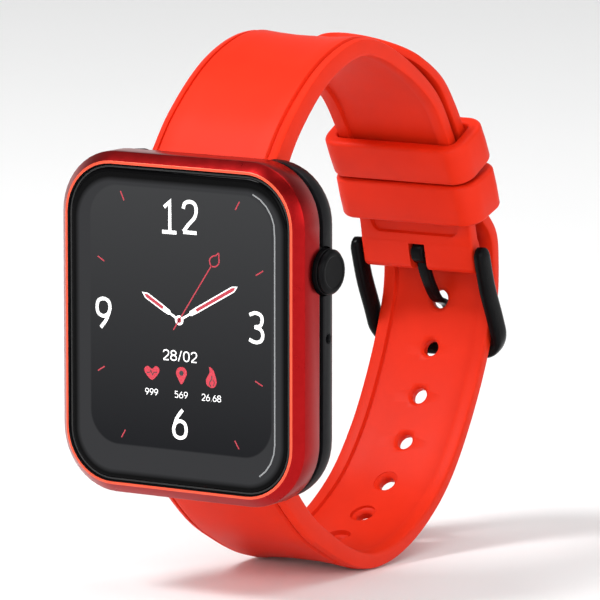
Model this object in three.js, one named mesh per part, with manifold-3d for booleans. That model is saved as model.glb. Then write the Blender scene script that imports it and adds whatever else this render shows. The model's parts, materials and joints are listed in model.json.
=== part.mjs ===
// A rectangular smart sports watch, buckled into a closed loop and standing on its strap.
// Millimetres. +X is the crown side, +Y runs from the glass towards the buckle, +Z is up.
import * as THREE from 'three';
import { mergeVertices } from 'three/addons/utils/BufferGeometryUtils.js';
import Module from 'manifold-3d';

const wasm = await Module();
wasm.setup();

// ---------------------------------------------------------------- driving dimensions
const CLEARANCE = 0.3; // gap between neighbouring pieces
const TOUCH = 0.05; // gap between pieces that bear on each other
const FAR = 60; // reach of a cutting block past the watch
const CORNER_SEGMENTS = 6;
const ROUND_SEGMENTS = 24;

const RIM_WIDTH = 35.6; // front edge of the red frame
const RIM_HEIGHT = 42.8;
const RIM_CORNER = 7.2;
const CHAMFER = 1.25; // slope from the rim out to the side wall
const BEZEL_DEPTH = 4.95; // rim to the back edge of the red wall
const BEZEL_LIP = 0.55; // width of the front edge around the glass
const BEZEL_WALL = 1.6;

const GLASS_THICK = 1.5;
const GLASS_SET_BACK = 0.1;
const GLASS_EDGE = 0.5; // rounding of the front edge
const GASKET_WIDTH = 0.9;
const GASKET_THICK = 0.35;
const LEDGE_THICK = 0.8;

const DISPLAY_THICK = 1.3;
const FLEX_WIDTH = 8;
const FLEX_THICK = 0.2;
const PLATE_THICK = 0.6;
const BOARD_THICK = 0.8;

const SHELL_STEP = 0.55; // how far the dark seam is set in
const SEAM_DEPTH = 1.1;
const SHELL_INSET = 0.3; // lower shell against the red wall
const SHELL_DEPTH = 5.35; // back edge of the red wall to the back face of the lower shell
const SHELL_WALL = 1.5;
const SHELL_ROUND = 3.0;
const SHELL_CORNER_MIN = 1.0;
const MIC_HOLE_RADIUS = 0.5;
const MIC_BEHIND_SEAM = 1.35;
const MIC_UP = -0.6;

const COVER_THICK = 1.0;
const COVER_PROUD = 0.6;
const COVER_MARGIN = 3.6; // cover edge to shell edge
const COVER_CORNER = 5.0;
const COVER_EDGE = 0.3;
const SEAT = 1.2; // ledge that the rear cover rests on
const WINDOW_RADIUS = 6.0;
const WINDOW_THICK = 0.8;
const SCREW_RADIUS = 0.8;
const SCREW_LENGTH = 2.2;
const SCREW_INSET = 2.4;
const SCREW_HEAD_RADIUS = 1.1;
const SCREW_HEAD = 0.5;
const POST_RADIUS = 1.9;
const CONTACT_RADIUS = 1.1;
const CONTACT_SPACING = 4.0;
const CONTACT_DROP = 9.0;

const LUG_SLOT_WIDTH = 20.6;
const LUG_WALL = 1.4; // wall between the strap slot and the inside
const LUG_PIN_DROP = 3.4; // spring bar axis below the top edge of the red wall
const BAR_RADIUS = 0.75;
const BAR_TIP_RADIUS = 0.4;
const BAR_TIP_LENGTH = 0.7;

const CROWN_RADIUS = 3.0;
const CROWN_PROUD = 1.3;
const CROWN_HEIGHT = 1.7;
const CROWN_UP = 8.4;
const CROWN_BEHIND_WALL = 1.25; // crown axis behind the back edge of the red wall
const CROWN_TRAVEL = 0.6;
const CROWN_CHAMFER = 0.35;
const STEM_RADIUS = 0.8;
const SEAL_RADIUS = 1.5;
const SEAL_THICK = 0.7;
const BOSS_WALL = 1.2; // shell left around the crown pocket
const CLIP_RADIUS = 1.5;
const CLIP_THICK = 0.35;
const CLIP_SET_IN = 0.15; // clip face to the boss
const STEM_END = 0.6; // stem past the boss
const CROWN_ROOM = 5.0; // half height of the notch that the crown needs in the inner plate
const SWITCH_SIZE = [1.4, 4.0]; // along X and Z
const SWITCH_PAST_AXIS = 0.9; // switch behind the crown's axis

const STRAP_WIDTH_LUG = 19.8;
const STRAP_WIDTH_BUCKLE = 18.0;
const STRAP_THICK_LUG = 3.8;
const STRAP_THICK_MIDDLE = 2.6;
const STRAP_THICK_END = 2.1;
const STRAP_TIP_THICK = 1.2;
const STRAP_TIP_LENGTH = 9.0;
const STRAP_EDGE = 0.35;
const LAYER_GAP = 0.6; // between the two strap layers inside the keepers
const STRAP_TAPER = 60.0; // length over which the strap narrows
const UPPER_STEPS = 40;
const LOWER_STEPS = 84;
const HOLE_RADIUS = 1.3;
const HOLE_PITCH = 7.0;
const HOLES_BELOW = 6; // free holes between the tang and the case
const HOLES_ABOVE = 3; // free holes between the tang and the tip

const LOOP_DEPTH = 57.0; // spring bars to the back of the loop
const LOOP_TOP = 34.65; // strap centre line above the case centre
const LOOP_BOTTOM = 35.1;
const TABLE_FLAT = 0.15; // strap flattened where it stands
const PIN_UP = 3.3; // buckle pin above the case centre
const ARC_RADIUS = 48; // round stretch above the buckle pin
const ARC_LEAN = 10 * Math.PI / 180;

const KEEPER_LENGTH = 5.8;
const KEEPER_WALL = 1.85;
const KEEPER_CORNER = 2.9;
const KEEPER_PLAY = 0.25;
const KEEPER_SIDE_PLAY = 0.3;
const KEEPER_EDGE = 0.4;
const KEEPER_FROM_PIN = [15.2, 8.75]; // along the upper strap from the pin to the keeper middles

const PIN_RADIUS = 0.65;
const PIN_PLAY = 0.2;
const BLOCK_RADIUS = 1.7; // strap end wrapped around the buckle pin
const TANG_WIDTH = 1.9;
const TANG_THICK = 1.0;
const TANG_EYE = 1.5;
const BUCKLE_INSIDE = 18.8;
const BUCKLE_ARM = 1.9;
const BUCKLE_BAND = 2.3;
const BUCKLE_EYE = 1.9;
const TANG_REST = 2.45; // tang tip behind the crossbar axis
const BUCKLE_CORNER = 4.0;
const CROSSBAR = [5.2, -13.9]; // crossbar axis from the pin axis, along Y and Z
const TANG_THROUGH = [5.0, -7.2]; // where the tang goes through the strap, from the pin axis
const PIN_BACK_SHARE = 0.905; // pin axis as a share of the loop depth

// Sizes below run along X, Y and Z; places are middles along X and Z.
const BATTERY_SIZE = [20, 2.5, 20];
const BATTERY_PLACE = [-1.5, -1.2];
const BATTERY_CORNER = 1.2;
const BATTERY_EDGE = 0.3;
const PROCESSOR_SIZE = [8, 1.1, 8];
const PROCESSOR_PLACE = [0, 1];
const SHIELD_SIZE = [6.8, 1.1, 13];
const SHIELD_PLACE = [-8.2, -2.5];
const ANTENNA_SIZE = [4.6, 2.2, 13];
const ANTENNA_PLACE = [-14.4, 0];
const SPEAKER_SIZE = [10, 2.4, 5.2];
const SPEAKER_PLACE = [-2, 12.4];
const PADS_THICK = 0.5; // solder pads and foam under the tall pieces
const MIC_SIZE = [2.2, 1.4, 2.6];
const MIC_GAP = 0.55; // microphone to the shell wall
const SENSOR_BOARD_SIZE = [12, 0.35, 12];
const LED_RADIUS = 2.2;
const MOTOR_RADIUS = 4.0;
const MOTOR_THICK = 2.4;
const MOTOR_WALL = 0.3;
const MOTOR_POST = 0.5;
const MOTOR_HUB = 0.8; // weight left around the post
const MOTOR_PLACE = [12.8, -6.6];
const BOARD_MARGIN = 3.4; // main board edge to the outside of the case

// ---------------------------------------------------------------- worked-out sizes
const caseWidth = RIM_WIDTH + 2 * CHAMFER;
const caseHeight = RIM_HEIGHT + 2 * CHAMFER;
const caseCorner = RIM_CORNER + CHAMFER;
const glassBack = GLASS_SET_BACK + GLASS_THICK;
const ledgeFront = glassBack + GASKET_THICK;
const ledgeBack = ledgeFront + LEDGE_THICK;
const displayFront = glassBack + CLEARANCE / 2;
const displayBack = displayFront + DISPLAY_THICK;
const plateFront = displayBack + CLEARANCE / 2;
const boardFront = Math.max(
  plateFront + PLATE_THICK + CLEARANCE, BEZEL_DEPTH - TOUCH - BOARD_THICK,
);
const plateBack = boardFront - CLEARANCE;
const boardBack = boardFront + BOARD_THICK;
const glassInset = BEZEL_LIP + CLEARANCE / 2;
const boardWidth = caseWidth - 2 * BOARD_MARGIN;
const lugPinUp = caseHeight / 2 - LUG_PIN_DROP;
const seamBack = BEZEL_DEPTH + SEAM_DEPTH;
const shellBack = BEZEL_DEPTH + SHELL_DEPTH;
const lugPinBack = seamBack + STRAP_THICK_LUG / 2 + CLEARANCE / 2;
const crownBack = BEZEL_DEPTH + CROWN_BEHIND_WALL;
const micBack = seamBack + MIC_BEHIND_SEAM;
const slotFloor = lugPinUp - STRAP_THICK_LUG / 2 - CLEARANCE;
const cavityHeight = 2 * (slotFloor - LUG_WALL);
const cavityWidth = caseWidth - 2 * (SHELL_INSET + SHELL_WALL);
const micAcross = (cavityWidth - MIC_SIZE[0]) / 2 - MIC_GAP;
const boardHeight = cavityHeight - 2 * CLEARANCE;
const coverFront = shellBack - COVER_THICK + COVER_PROUD;
const coverBack = shellBack + COVER_PROUD;
const coverWidth = caseWidth - 2 * (SHELL_INSET + COVER_MARGIN);
const coverHeight = cavityHeight - CLEARANCE;
const roomBack = coverFront - SHELL_WALL;
const postFront = coverFront - SCREW_LENGTH - CLEARANCE;
const contactPlaces = [-CONTACT_SPACING / 2, CONTACT_SPACING / 2];
const crownOuter = caseWidth / 2 + CROWN_PROUD;
const crownInner = crownOuter - CROWN_HEIGHT;
const pocketFloor = crownInner - CROWN_TRAVEL - CLEARANCE;
const bossInner = pocketFloor - SHELL_WALL;
const stemInner = bossInner - STEM_END;

// ---------------------------------------------------------------- materials
function material(color, roughness, metalness) {
  return new THREE.MeshStandardMaterial({ color, roughness, metalness });
}
const redAnodised = material('#b81a1c', 0.32, 0.9);
const blackShell = material('#1b1b1d', 0.45, 0.1);
const glassBlack = material('#0b0b0d', 0.05, 0.0);
const displayGrey = material('#2e2f33', 0.3, 0.0);
const sealBlack = material('#101010', 0.8, 0.0);
const plateMetal = material('#8e9094', 0.4, 0.9);
const boardGreen = material('#1f4d2e', 0.6, 0.0);
const chipBlack = material('#202022', 0.55, 0.0);
const tinned = material('#b9bbbd', 0.35, 0.95);
const batterySilver = material('#9aa0a8', 0.5, 0.3);
const ceramic = material('#cfc8b4', 0.6, 0.0);
const goldContact = material('#d8b25a', 0.25, 1.0);
const steel = material('#a6a8ab', 0.3, 1.0);
const blackSteel = material('#0f0f11', 0.22, 0.6);
const redSilicone = material('#e3341f', 0.6, 0.0);
const flexOrange = material('#a8641f', 0.5, 0.0);

// ---------------------------------------------------------------- shape helpers
function roundedRectangle(width, height, radius) {
  const shape = new THREE.Shape();
  const corners = [[1, -1, -0.5], [1, 1, 0], [-1, 1, 0.5], [-1, -1, 1]];
  for (const [sx, sy, turn] of corners) {
    const x = sx * (width / 2 - radius);
    const y = sy * (height / 2 - radius);
    shape.absarc(x, y, radius, turn * Math.PI, (turn + 0.5) * Math.PI, false);
  }
  shape.closePath();
  return shape;
}

function circle(radius, x = 0, y = 0) {
  const shape = new THREE.Shape();
  shape.absarc(x, y, radius, 0, 2 * Math.PI, false);
  return shape;
}

// A shape extruded to an exact length, with its rims bevelled inwards when bevel is set.
function prism(shape, length, bevel = 0, bevelSegments = 1) {
  const geometry = new THREE.ExtrudeGeometry(shape, {
    depth: length - 2 * bevel,
    bevelEnabled: bevel > 0,
    bevelThickness: bevel,
    bevelSize: bevel,
    bevelOffset: -bevel,
    bevelSegments,
    curveSegments: CORNER_SEGMENTS,
  });
  return geometry.translate(0, 0, bevel);
}

// Shape drawn in X and Z, running from y0 to y1.
function alongY(shape, y0, y1, bevel = 0, bevelSegments = 1) {
  return prism(shape, y1 - y0, bevel, bevelSegments).rotateX(Math.PI / 2).translate(0, y1, 0);
}

// Shape drawn in Y and Z, running from x0 to x1.
function alongX(shape, x0, x1, bevel = 0, bevelSegments = 1) {
  const turn = new THREE.Matrix4().makeBasis(
    new THREE.Vector3(0, 1, 0),
    new THREE.Vector3(0, 0, 1),
    new THREE.Vector3(1, 0, 0),
  );
  return prism(shape, x1 - x0, bevel, bevelSegments).applyMatrix4(turn).translate(x0, 0, 0);
}

function rodX(radius, x0, x1, y, z, segments = ROUND_SEGMENTS) {
  const rod = new THREE.CylinderGeometry(radius, radius, x1 - x0, segments);
  return rod.rotateZ(Math.PI / 2).translate((x0 + x1) / 2, y, z);
}

function rodY(radius, y0, y1, x, z, segments = ROUND_SEGMENTS) {
  const rod = new THREE.CylinderGeometry(radius, radius, y1 - y0, segments);
  return rod.translate(x, (y0 + y1) / 2, z);
}

function box(x0, x1, y0, y1, z0, z1) {
  const geometry = new THREE.BoxGeometry(x1 - x0, y1 - y0, z1 - z0);
  return geometry.translate((x0 + x1) / 2, (y0 + y1) / 2, (z0 + z1) / 2);
}

function welded(geometry) {
  const bare = geometry.clone();
  bare.deleteAttribute('normal');
  bare.deleteAttribute('uv');
  return mergeVertices(bare, 1e-4);
}

function solid(geometry) {
  const merged = welded(geometry);
  return new wasm.Manifold(new wasm.Mesh({
    numProp: 3,
    vertProperties: new Float32Array(merged.attributes.position.array),
    triVerts: new Uint32Array(merged.index.array),
  }));
}

function cut(base, ...tools) {
  return tools.reduce((body, tool) => body.subtract(solid(tool)), base);
}

function join(...geometries) {
  return geometries.slice(1).reduce((body, extra) => body.add(solid(extra)), solid(geometries[0]));
}

function surface(body) {
  const mesh = body.getMesh();
  const geometry = new THREE.BufferGeometry();
  geometry.setAttribute('position', new THREE.BufferAttribute(mesh.vertProperties, 3));
  geometry.setIndex(new THREE.BufferAttribute(mesh.triVerts, 1));
  return geometry;
}

const watch = new THREE.Group();

function piece(name, shape, finish) {
  const geometry = shape.isBufferGeometry ? welded(shape) : surface(shape);
  geometry.computeVertexNormals();
  const mesh = new THREE.Mesh(geometry, finish);
  mesh.name = name;
  watch.add(mesh);
}

// ---------------------------------------------------------------- strap centre lines
// Points are [Y, Z]. The upper strap runs from its spring bar over the top to the buckle pin.
const depthAt = (share) => lugPinBack + share * LOOP_DEPTH;
const pin = { y: depthAt(PIN_BACK_SHARE), z: PIN_UP };

// Point on the round stretch that the keepers slide along, at a distance from the pin.
function keeperArc(distance) {
  const middleY = pin.y - ARC_RADIUS * Math.cos(ARC_LEAN);
  const middleZ = pin.z - ARC_RADIUS * Math.sin(ARC_LEAN);
  const angle = ARC_LEAN + distance / ARC_RADIUS;
  return [middleY + ARC_RADIUS * Math.cos(angle), middleZ + ARC_RADIUS * Math.sin(angle)];
}

const upperCentre = centreLine([
  [lugPinBack, lugPinUp],
  [depthAt(0.09), 0.745 * LOOP_TOP],
  [depthAt(0.24), 0.93 * LOOP_TOP],
  [depthAt(0.402), LOOP_TOP],
  [depthAt(0.567), 0.917 * LOOP_TOP],
  ...[26, 19.5, 13, 6.5, 0].map(keeperArc),
]);

function centreLine(points) {
  return new THREE.CatmullRomCurve3(points.map(([y, z]) => new THREE.Vector3(0, y, z)), false);
}

// Point, direction and loop-outward normal of a centre line at a share of its length.
function station(curve, share, side) {
  const point = curve.getPointAt(share);
  const along = curve.getTangentAt(share);
  const out = new THREE.Vector3(0, -side * along.z, side * along.y);
  return { point, along, out };
}
const UPPER_SIDE = 1;
const LOWER_SIDE = -1;

function blend(from, to, share) {
  return from + (to - from) * THREE.MathUtils.clamp(share, 0, 1);
}

const upperThick = (share) => share < 0.45
  ? blend(STRAP_THICK_LUG, STRAP_THICK_MIDDLE, share / 0.45)
  : blend(STRAP_THICK_MIDDLE, STRAP_THICK_END, (share - 0.45) / 0.3);

// The outer layer follows the upper strap at the distance that keeps the gap.
function outerLayer(share, thick) {
  const { point, out } = station(upperCentre, share, UPPER_SIDE);
  const away = upperThick(share) / 2 + LAYER_GAP + thick / 2;
  return [point.y + out.y * away, point.z + out.z * away];
}

const lowerCentre = centreLine([
  [lugPinBack, -lugPinUp],
  [depthAt(0.15), -0.786 * LOOP_BOTTOM],
  [depthAt(0.245), -0.883 * LOOP_BOTTOM],
  [depthAt(0.338), -0.957 * LOOP_BOTTOM],
  [depthAt(0.425), -0.995 * LOOP_BOTTOM],
  [depthAt(0.505), -0.992 * LOOP_BOTTOM],
  [depthAt(0.595), -0.952 * LOOP_BOTTOM],
  [depthAt(0.68), -0.883 * LOOP_BOTTOM],
  [depthAt(0.765), -0.778 * LOOP_BOTTOM],
  [depthAt(0.842), -0.627 * LOOP_BOTTOM],
  [depthAt(0.913), -0.433 * LOOP_BOTTOM],
  [pin.y + 3.7, pin.z - 11.1],
  [pin.y + 5.1, pin.z - 6.2],
  [pin.y + 5.3, pin.z - 1.3],
  [pin.y + 4.7, pin.z + 2.7],
  ...[0.915, 0.87, 0.82, 0.77, 0.71, 0.65].map((share) => outerLayer(share, STRAP_THICK_END)),
  ...[0.57, 0.49].map((share) => outerLayer(share, STRAP_TIP_THICK)),
]);
const upperLength = upperCentre.getLength();
const lowerLength = lowerCentre.getLength();

const lowerThick = (share) => {
  if (share < 0.2) {
    return blend(STRAP_THICK_LUG, STRAP_THICK_MIDDLE, share / 0.2);
  }
  if (share < 0.4) {
    return blend(STRAP_THICK_MIDDLE, STRAP_THICK_END, (share - 0.2) / 0.2);
  }
  return blend(STRAP_THICK_END, STRAP_TIP_THICK, (share - 0.86) / 0.14);
};

const strapHalfWidth = (share, length) =>
  blend(STRAP_WIDTH_LUG, STRAP_WIDTH_BUCKLE, share * length / STRAP_TAPER) / 2;

// Share of the full width left at a place near the round tip.
function tipShare(share, length) {
  const fromTip = (1 - share) * length;
  const into = THREE.MathUtils.clamp(1 - fromTip / STRAP_TIP_LENGTH, 0, 0.97);
  return Math.sqrt(1 - into * into);
}

// A straight prism with chamfered edges, bent along its centre line.
function strap(curve, side, steps, thick, halfWidth) {
  const width = STRAP_WIDTH_LUG;
  const height = STRAP_THICK_MIDDLE;
  const section = new THREE.Shape();
  const x = width / 2;
  const y = height / 2;
  const outline = [
    [x, y - STRAP_EDGE], [x - STRAP_EDGE, y], [STRAP_EDGE - x, y], [-x, y - STRAP_EDGE],
    [-x, STRAP_EDGE - y], [STRAP_EDGE - x, -y], [x - STRAP_EDGE, -y], [x, STRAP_EDGE - y],
  ];
  section.setFromPoints(outline.map(([px, py]) => new THREE.Vector2(px, py)));
  const geometry = new THREE.ExtrudeGeometry(section, { depth: 1, steps, bevelEnabled: false });
  const position = geometry.attributes.position;
  for (let i = 0; i < position.count; i += 1) {
    const share = THREE.MathUtils.clamp(position.getZ(i), 0, 1);
    const { point, out } = station(curve, share, side);
    const lift = position.getY(i) / height * thick(share);
    const across = position.getX(i) / x * halfWidth(share);
    // Mirrored across where needed, so that the faces keep pointing outwards.
    position.setXYZ(i, -side * across, point.y + out.y * lift, point.z + out.z * lift);
  }
  return geometry;
}

// ---------------------------------------------------------------- case front
function rimOutline(inset) {
  return roundedRectangle(RIM_WIDTH - 2 * inset, RIM_HEIGHT - 2 * inset, RIM_CORNER - inset);
}

function caseOutline(inset) {
  return roundedRectangle(caseWidth - 2 * inset, caseHeight - 2 * inset, caseCorner - inset);
}

function crownPocket() {
  const radius = CROWN_RADIUS + CLEARANCE;
  return rodX(radius, pocketFloor, crownOuter + 1, crownBack, CROWN_UP);
}

function bezelFrame() {
  const block = alongY(caseOutline(0), 0, 2 * BEZEL_DEPTH, CHAMFER);
  return cut(
    solid(block),
    box(-FAR, FAR, BEZEL_DEPTH, FAR, -FAR, FAR),
    alongY(rimOutline(BEZEL_LIP), -1, ledgeFront),
    alongY(rimOutline(BEZEL_LIP + GASKET_WIDTH), -1, BEZEL_DEPTH + 1),
    alongY(caseOutline(BEZEL_WALL), ledgeBack, BEZEL_DEPTH + 1),
    crownPocket(),
    rodX(SEAL_RADIUS + CLEARANCE, 0, FAR, crownBack, CROWN_UP),
  );
}

function coverGlass() {
  const block = alongY(rimOutline(glassInset), GLASS_SET_BACK, glassBack + GLASS_EDGE, GLASS_EDGE, 2);
  return cut(solid(block), box(-FAR, FAR, glassBack, FAR, -FAR, FAR));
}

function glassGasket() {
  const shape = rimOutline(glassInset);
  shape.holes.push(rimOutline(BEZEL_LIP + GASKET_WIDTH));
  return alongY(shape, glassBack + TOUCH, ledgeFront - TOUCH);
}

function innerPlate() {
  const plate = alongY(caseOutline(BEZEL_WALL + CLEARANCE), plateFront, plateBack);
  const crownSpace = box(
    bossInner - CLEARANCE, FAR, 0, FAR, CROWN_UP - CROWN_ROOM, CROWN_UP + CROWN_ROOM,
  );
  const flexNotch = box(-FLEX_WIDTH, FLEX_WIDTH, 0, FAR, -FAR, -boardHeight / 2 - CLEARANCE);
  return cut(solid(plate), crownSpace, flexNotch);
}

function displayFlex() {
  const half = FLEX_WIDTH / 2;
  const low = -boardHeight / 2 - 2 * CLEARANCE - FLEX_THICK;
  const strip = box(-half, half, displayBack + TOUCH, boardFront - TOUCH, low, low + FLEX_THICK);
  const foot = box(-half, half, boardFront - FLEX_THICK - TOUCH, boardFront - TOUCH, low, low + 4);
  return join(strip, foot);
}

piece('bezel_frame', bezelFrame(), redAnodised);
piece('cover_glass', coverGlass(), glassBlack);
piece('glass_gasket', glassGasket(), sealBlack);
piece(
  'display_panel',
  alongY(rimOutline(BEZEL_LIP + GASKET_WIDTH + CLEARANCE), displayFront, displayBack),
  displayGrey,
);
piece('inner_plate', innerPlate(), plateMetal);
piece('display_flex', displayFlex(), flexOrange);

// ---------------------------------------------------------------- lower shell
function lugSlot(direction) {
  const outer = direction * FAR;
  const floor = direction * slotFloor;
  const half = LUG_SLOT_WIDTH / 2;
  return box(-half, half, seamBack, FAR, Math.min(outer, floor), Math.max(outer, floor));
}

function barHole(direction) {
  const half = LUG_SLOT_WIDTH / 2 + BAR_TIP_LENGTH + CLEARANCE;
  return rodX(BAR_TIP_RADIUS + CLEARANCE / 2, -half, half, lugPinBack, direction * lugPinUp, 12);
}

const screwPlaces = [[1, 1], [-1, 1], [-1, -1], [1, -1]].map(([sx, sz]) => [
  sx * (coverWidth / 2 - SCREW_INSET),
  sz * (coverHeight / 2 - SCREW_INSET),
]);

function backCase() {
  const inset = SHELL_INSET + SHELL_STEP;
  const drum = alongY(caseOutline(SHELL_INSET), seamBack - 2 * SHELL_ROUND, shellBack, SHELL_ROUND, 3);
  const neck = alongY(caseOutline(inset), BEZEL_DEPTH + CLEARANCE / 2, seamBack + TOUCH);
  const outside = cut(solid(drum), box(-FAR, FAR, -FAR, seamBack, -FAR, FAR)).add(solid(neck));
  const room = roundedRectangle(cavityWidth, cavityHeight, SHELL_CORNER_MIN);
  const coverRoom = roundedRectangle(
    coverWidth - 2 * SEAT, coverHeight - 2 * SEAT, COVER_CORNER - SEAT,
  );
  const coverSeat = roundedRectangle(coverWidth + CLEARANCE, coverHeight + CLEARANCE, COVER_CORNER);
  const posts = screwPlaces.map(([x, z]) => rodY(POST_RADIUS, postFront, coverFront, x, z, 16));
  const boss = rodX(CROWN_RADIUS + BOSS_WALL, bossInner, pocketFloor + 1, crownBack, CROWN_UP);
  const bossRoom = box(0, FAR, BEZEL_DEPTH + CLEARANCE / 2, postFront + 1, -FAR, FAR);
  const hollow = cut(
    outside,
    alongY(room, 0, roomBack),
    alongY(coverRoom, 0, FAR),
    alongY(coverSeat, coverFront, FAR),
  );
  const extras = posts.map((post) => solid(post)).concat(solid(boss).intersect(solid(bossRoom)));
  const filled = extras.reduce((body, extra) => body.add(extra), hollow);
  return cut(
    filled,
    alongY(coverSeat, coverFront, FAR),
    lugSlot(1),
    lugSlot(-1),
    barHole(1),
    barHole(-1),
    crownPocket(),
    rodX(STEM_RADIUS + CLEARANCE / 2, 0, FAR, crownBack, CROWN_UP),
    rodX(SEAL_RADIUS, pocketFloor - SEAL_THICK - TOUCH, FAR, crownBack, CROWN_UP),
    rodX(MIC_HOLE_RADIUS, 0, FAR, micBack, MIC_UP, 12),
    ...screwPlaces.map(([x, z]) => rodY(SCREW_RADIUS, coverFront - SCREW_LENGTH, FAR, x, z, 16)),
  );
}
piece('back_case', backCase(), blackShell);

function rearCover() {
  const plate = roundedRectangle(coverWidth, coverHeight, COVER_CORNER);
  const heads = screwPlaces.map(([x, z]) =>
    rodY(SCREW_HEAD_RADIUS + CLEARANCE / 2, coverBack - SCREW_HEAD, FAR, x, z));
  const shanks = screwPlaces.map(([x, z]) => rodY(SCREW_RADIUS, 0, FAR, x, z, 16));
  const contacts = contactPlaces.map((x) => rodY(CONTACT_RADIUS + TOUCH, 0, FAR, x, -CONTACT_DROP));
  const block = alongY(plate, coverFront + TOUCH, coverBack, COVER_EDGE);
  return cut(
    solid(block),
    rodY(WINDOW_RADIUS + TOUCH, 0, FAR, 0, 0, 32),
    ...heads,
    ...shanks,
    ...contacts,
  );
}
piece('rear_cover', rearCover(), blackShell);
piece(
  'sensor_window',
  rodY(WINDOW_RADIUS, coverBack - WINDOW_THICK, coverBack + TOUCH, 0, 0, 32),
  glassBlack,
);
screwPlaces.forEach(([x, z], index) => {
  const head = rodY(SCREW_HEAD_RADIUS, coverBack - SCREW_HEAD + TOUCH, coverBack - TOUCH, x, z);
  const shankFront = coverFront - SCREW_LENGTH + CLEARANCE;
  const shankRadius = SCREW_RADIUS - CLEARANCE / 2;
  const shank = rodY(shankRadius, shankFront, coverBack - SCREW_HEAD / 2, x, z, 16);
  piece(`rear_screw_${index + 1}`, join(head, shank), steel);
});
contactPlaces.forEach((x, index) => {
  piece(
    `charge_contact_${index + 1}`,
    rodY(CONTACT_RADIUS, coverFront - TOUCH, coverBack + TOUCH, x, -CONTACT_DROP),
    goldContact,
  );
});

// ---------------------------------------------------------------- electronics
const chipFront = boardBack + TOUCH;
const batteryFront = chipFront + PROCESSOR_SIZE[1] + CLEARANCE;
const batteryBack = batteryFront + BATTERY_SIZE[1];
const sensorBoardFront = batteryBack + CLEARANCE;
const clipInner = bossInner - CLIP_SET_IN - CLIP_THICK;

function placedBox([x, z], [width, depth, height], front) {
  return box(x - width / 2, x + width / 2, front, front + depth, z - height / 2, z + height / 2);
}

// The board is notched where the crown's clip moves in.
function mainBoard() {
  const plate = placedBox([0, 0], [boardWidth, BOARD_THICK, boardHeight], boardFront);
  const reach = CLIP_RADIUS + CLEARANCE;
  const notchInner = clipInner - CROWN_TRAVEL - CLEARANCE;
  return cut(solid(plate), box(notchInner, FAR, 0, FAR, CROWN_UP - reach, CROWN_UP + reach));
}
piece('main_board', mainBoard(), boardGreen);
piece('processor_chip', placedBox(PROCESSOR_PLACE, PROCESSOR_SIZE, chipFront), chipBlack);
piece('radio_shield', placedBox(SHIELD_PLACE, SHIELD_SIZE, chipFront), tinned);

function battery() {
  const [width, , height] = BATTERY_SIZE;
  const outline = roundedRectangle(width, height, BATTERY_CORNER);
  const cell = alongY(outline, batteryFront, batteryBack, BATTERY_EDGE);
  return cell.translate(BATTERY_PLACE[0], 0, BATTERY_PLACE[1]);
}
piece('battery', battery(), batterySilver);

piece('gps_antenna', placedBox(ANTENNA_PLACE, ANTENNA_SIZE, chipFront + PADS_THICK), ceramic);
piece('speaker', placedBox(SPEAKER_PLACE, SPEAKER_SIZE, chipFront + PADS_THICK), chipBlack);
piece('microphone', placedBox([micAcross, MIC_UP], MIC_SIZE, micBack - MIC_SIZE[1] / 2), tinned);
piece('sensor_board', placedBox([0, 0], SENSOR_BOARD_SIZE, sensorBoardFront), boardGreen);
const ledFront = sensorBoardFront + SENSOR_BOARD_SIZE[1] + TOUCH;
const ledBack = coverBack - WINDOW_THICK - TOUCH;
piece('sensor_leds', rodY(LED_RADIUS, ledFront, ledBack, 0, 0, 16), chipBlack);

// A coin motor: an open can with a post, and an offset weight that turns on the post.
const motorFront = chipFront + CLEARANCE;
function motorCan() {
  const can = rodY(MOTOR_RADIUS, motorFront, motorFront + MOTOR_THICK, 0, 0);
  const room = rodY(MOTOR_RADIUS - MOTOR_WALL, motorFront + MOTOR_WALL, FAR, 0, 0);
  const post = rodY(MOTOR_POST, motorFront, motorFront + MOTOR_THICK, 0, 0, 12);
  return cut(solid(can), room).add(solid(post)).translate([MOTOR_PLACE[0], 0, MOTOR_PLACE[1]]);
}

function motorWeight() {
  const shape = new THREE.Shape();
  const outer = MOTOR_RADIUS - MOTOR_WALL - CLEARANCE;
  shape.absarc(0, 0, outer, -0.1 * Math.PI, 1.1 * Math.PI, false);
  shape.absarc(0, 0, MOTOR_POST + MOTOR_HUB, 1.1 * Math.PI, 1.9 * Math.PI, false);
  shape.closePath();
  const weight = alongY(shape, motorFront + 2 * MOTOR_WALL, motorFront + MOTOR_THICK - MOTOR_WALL);
  const bore = rodY(MOTOR_POST + CLEARANCE / 2, 0, FAR, 0, 0, 16);
  return cut(solid(weight), bore).translate([MOTOR_PLACE[0], 0, MOTOR_PLACE[1]]);
}
piece('vibration_motor', motorCan(), tinned);
piece('vibration_weight', motorWeight(), steel);

// ---------------------------------------------------------------- crown
function crownCap() {
  const profile = [
    [0, 0], [CROWN_RADIUS, 0], [CROWN_RADIUS, CROWN_HEIGHT - CROWN_CHAMFER],
    [CROWN_RADIUS - CROWN_CHAMFER, CROWN_HEIGHT], [0, CROWN_HEIGHT],
  ].map(([r, h]) => new THREE.Vector2(r, h));
  const cap = new THREE.LatheGeometry(profile, ROUND_SEGMENTS);
  return cap.rotateZ(-Math.PI / 2).translate(crownInner, crownBack, CROWN_UP);
}

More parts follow.
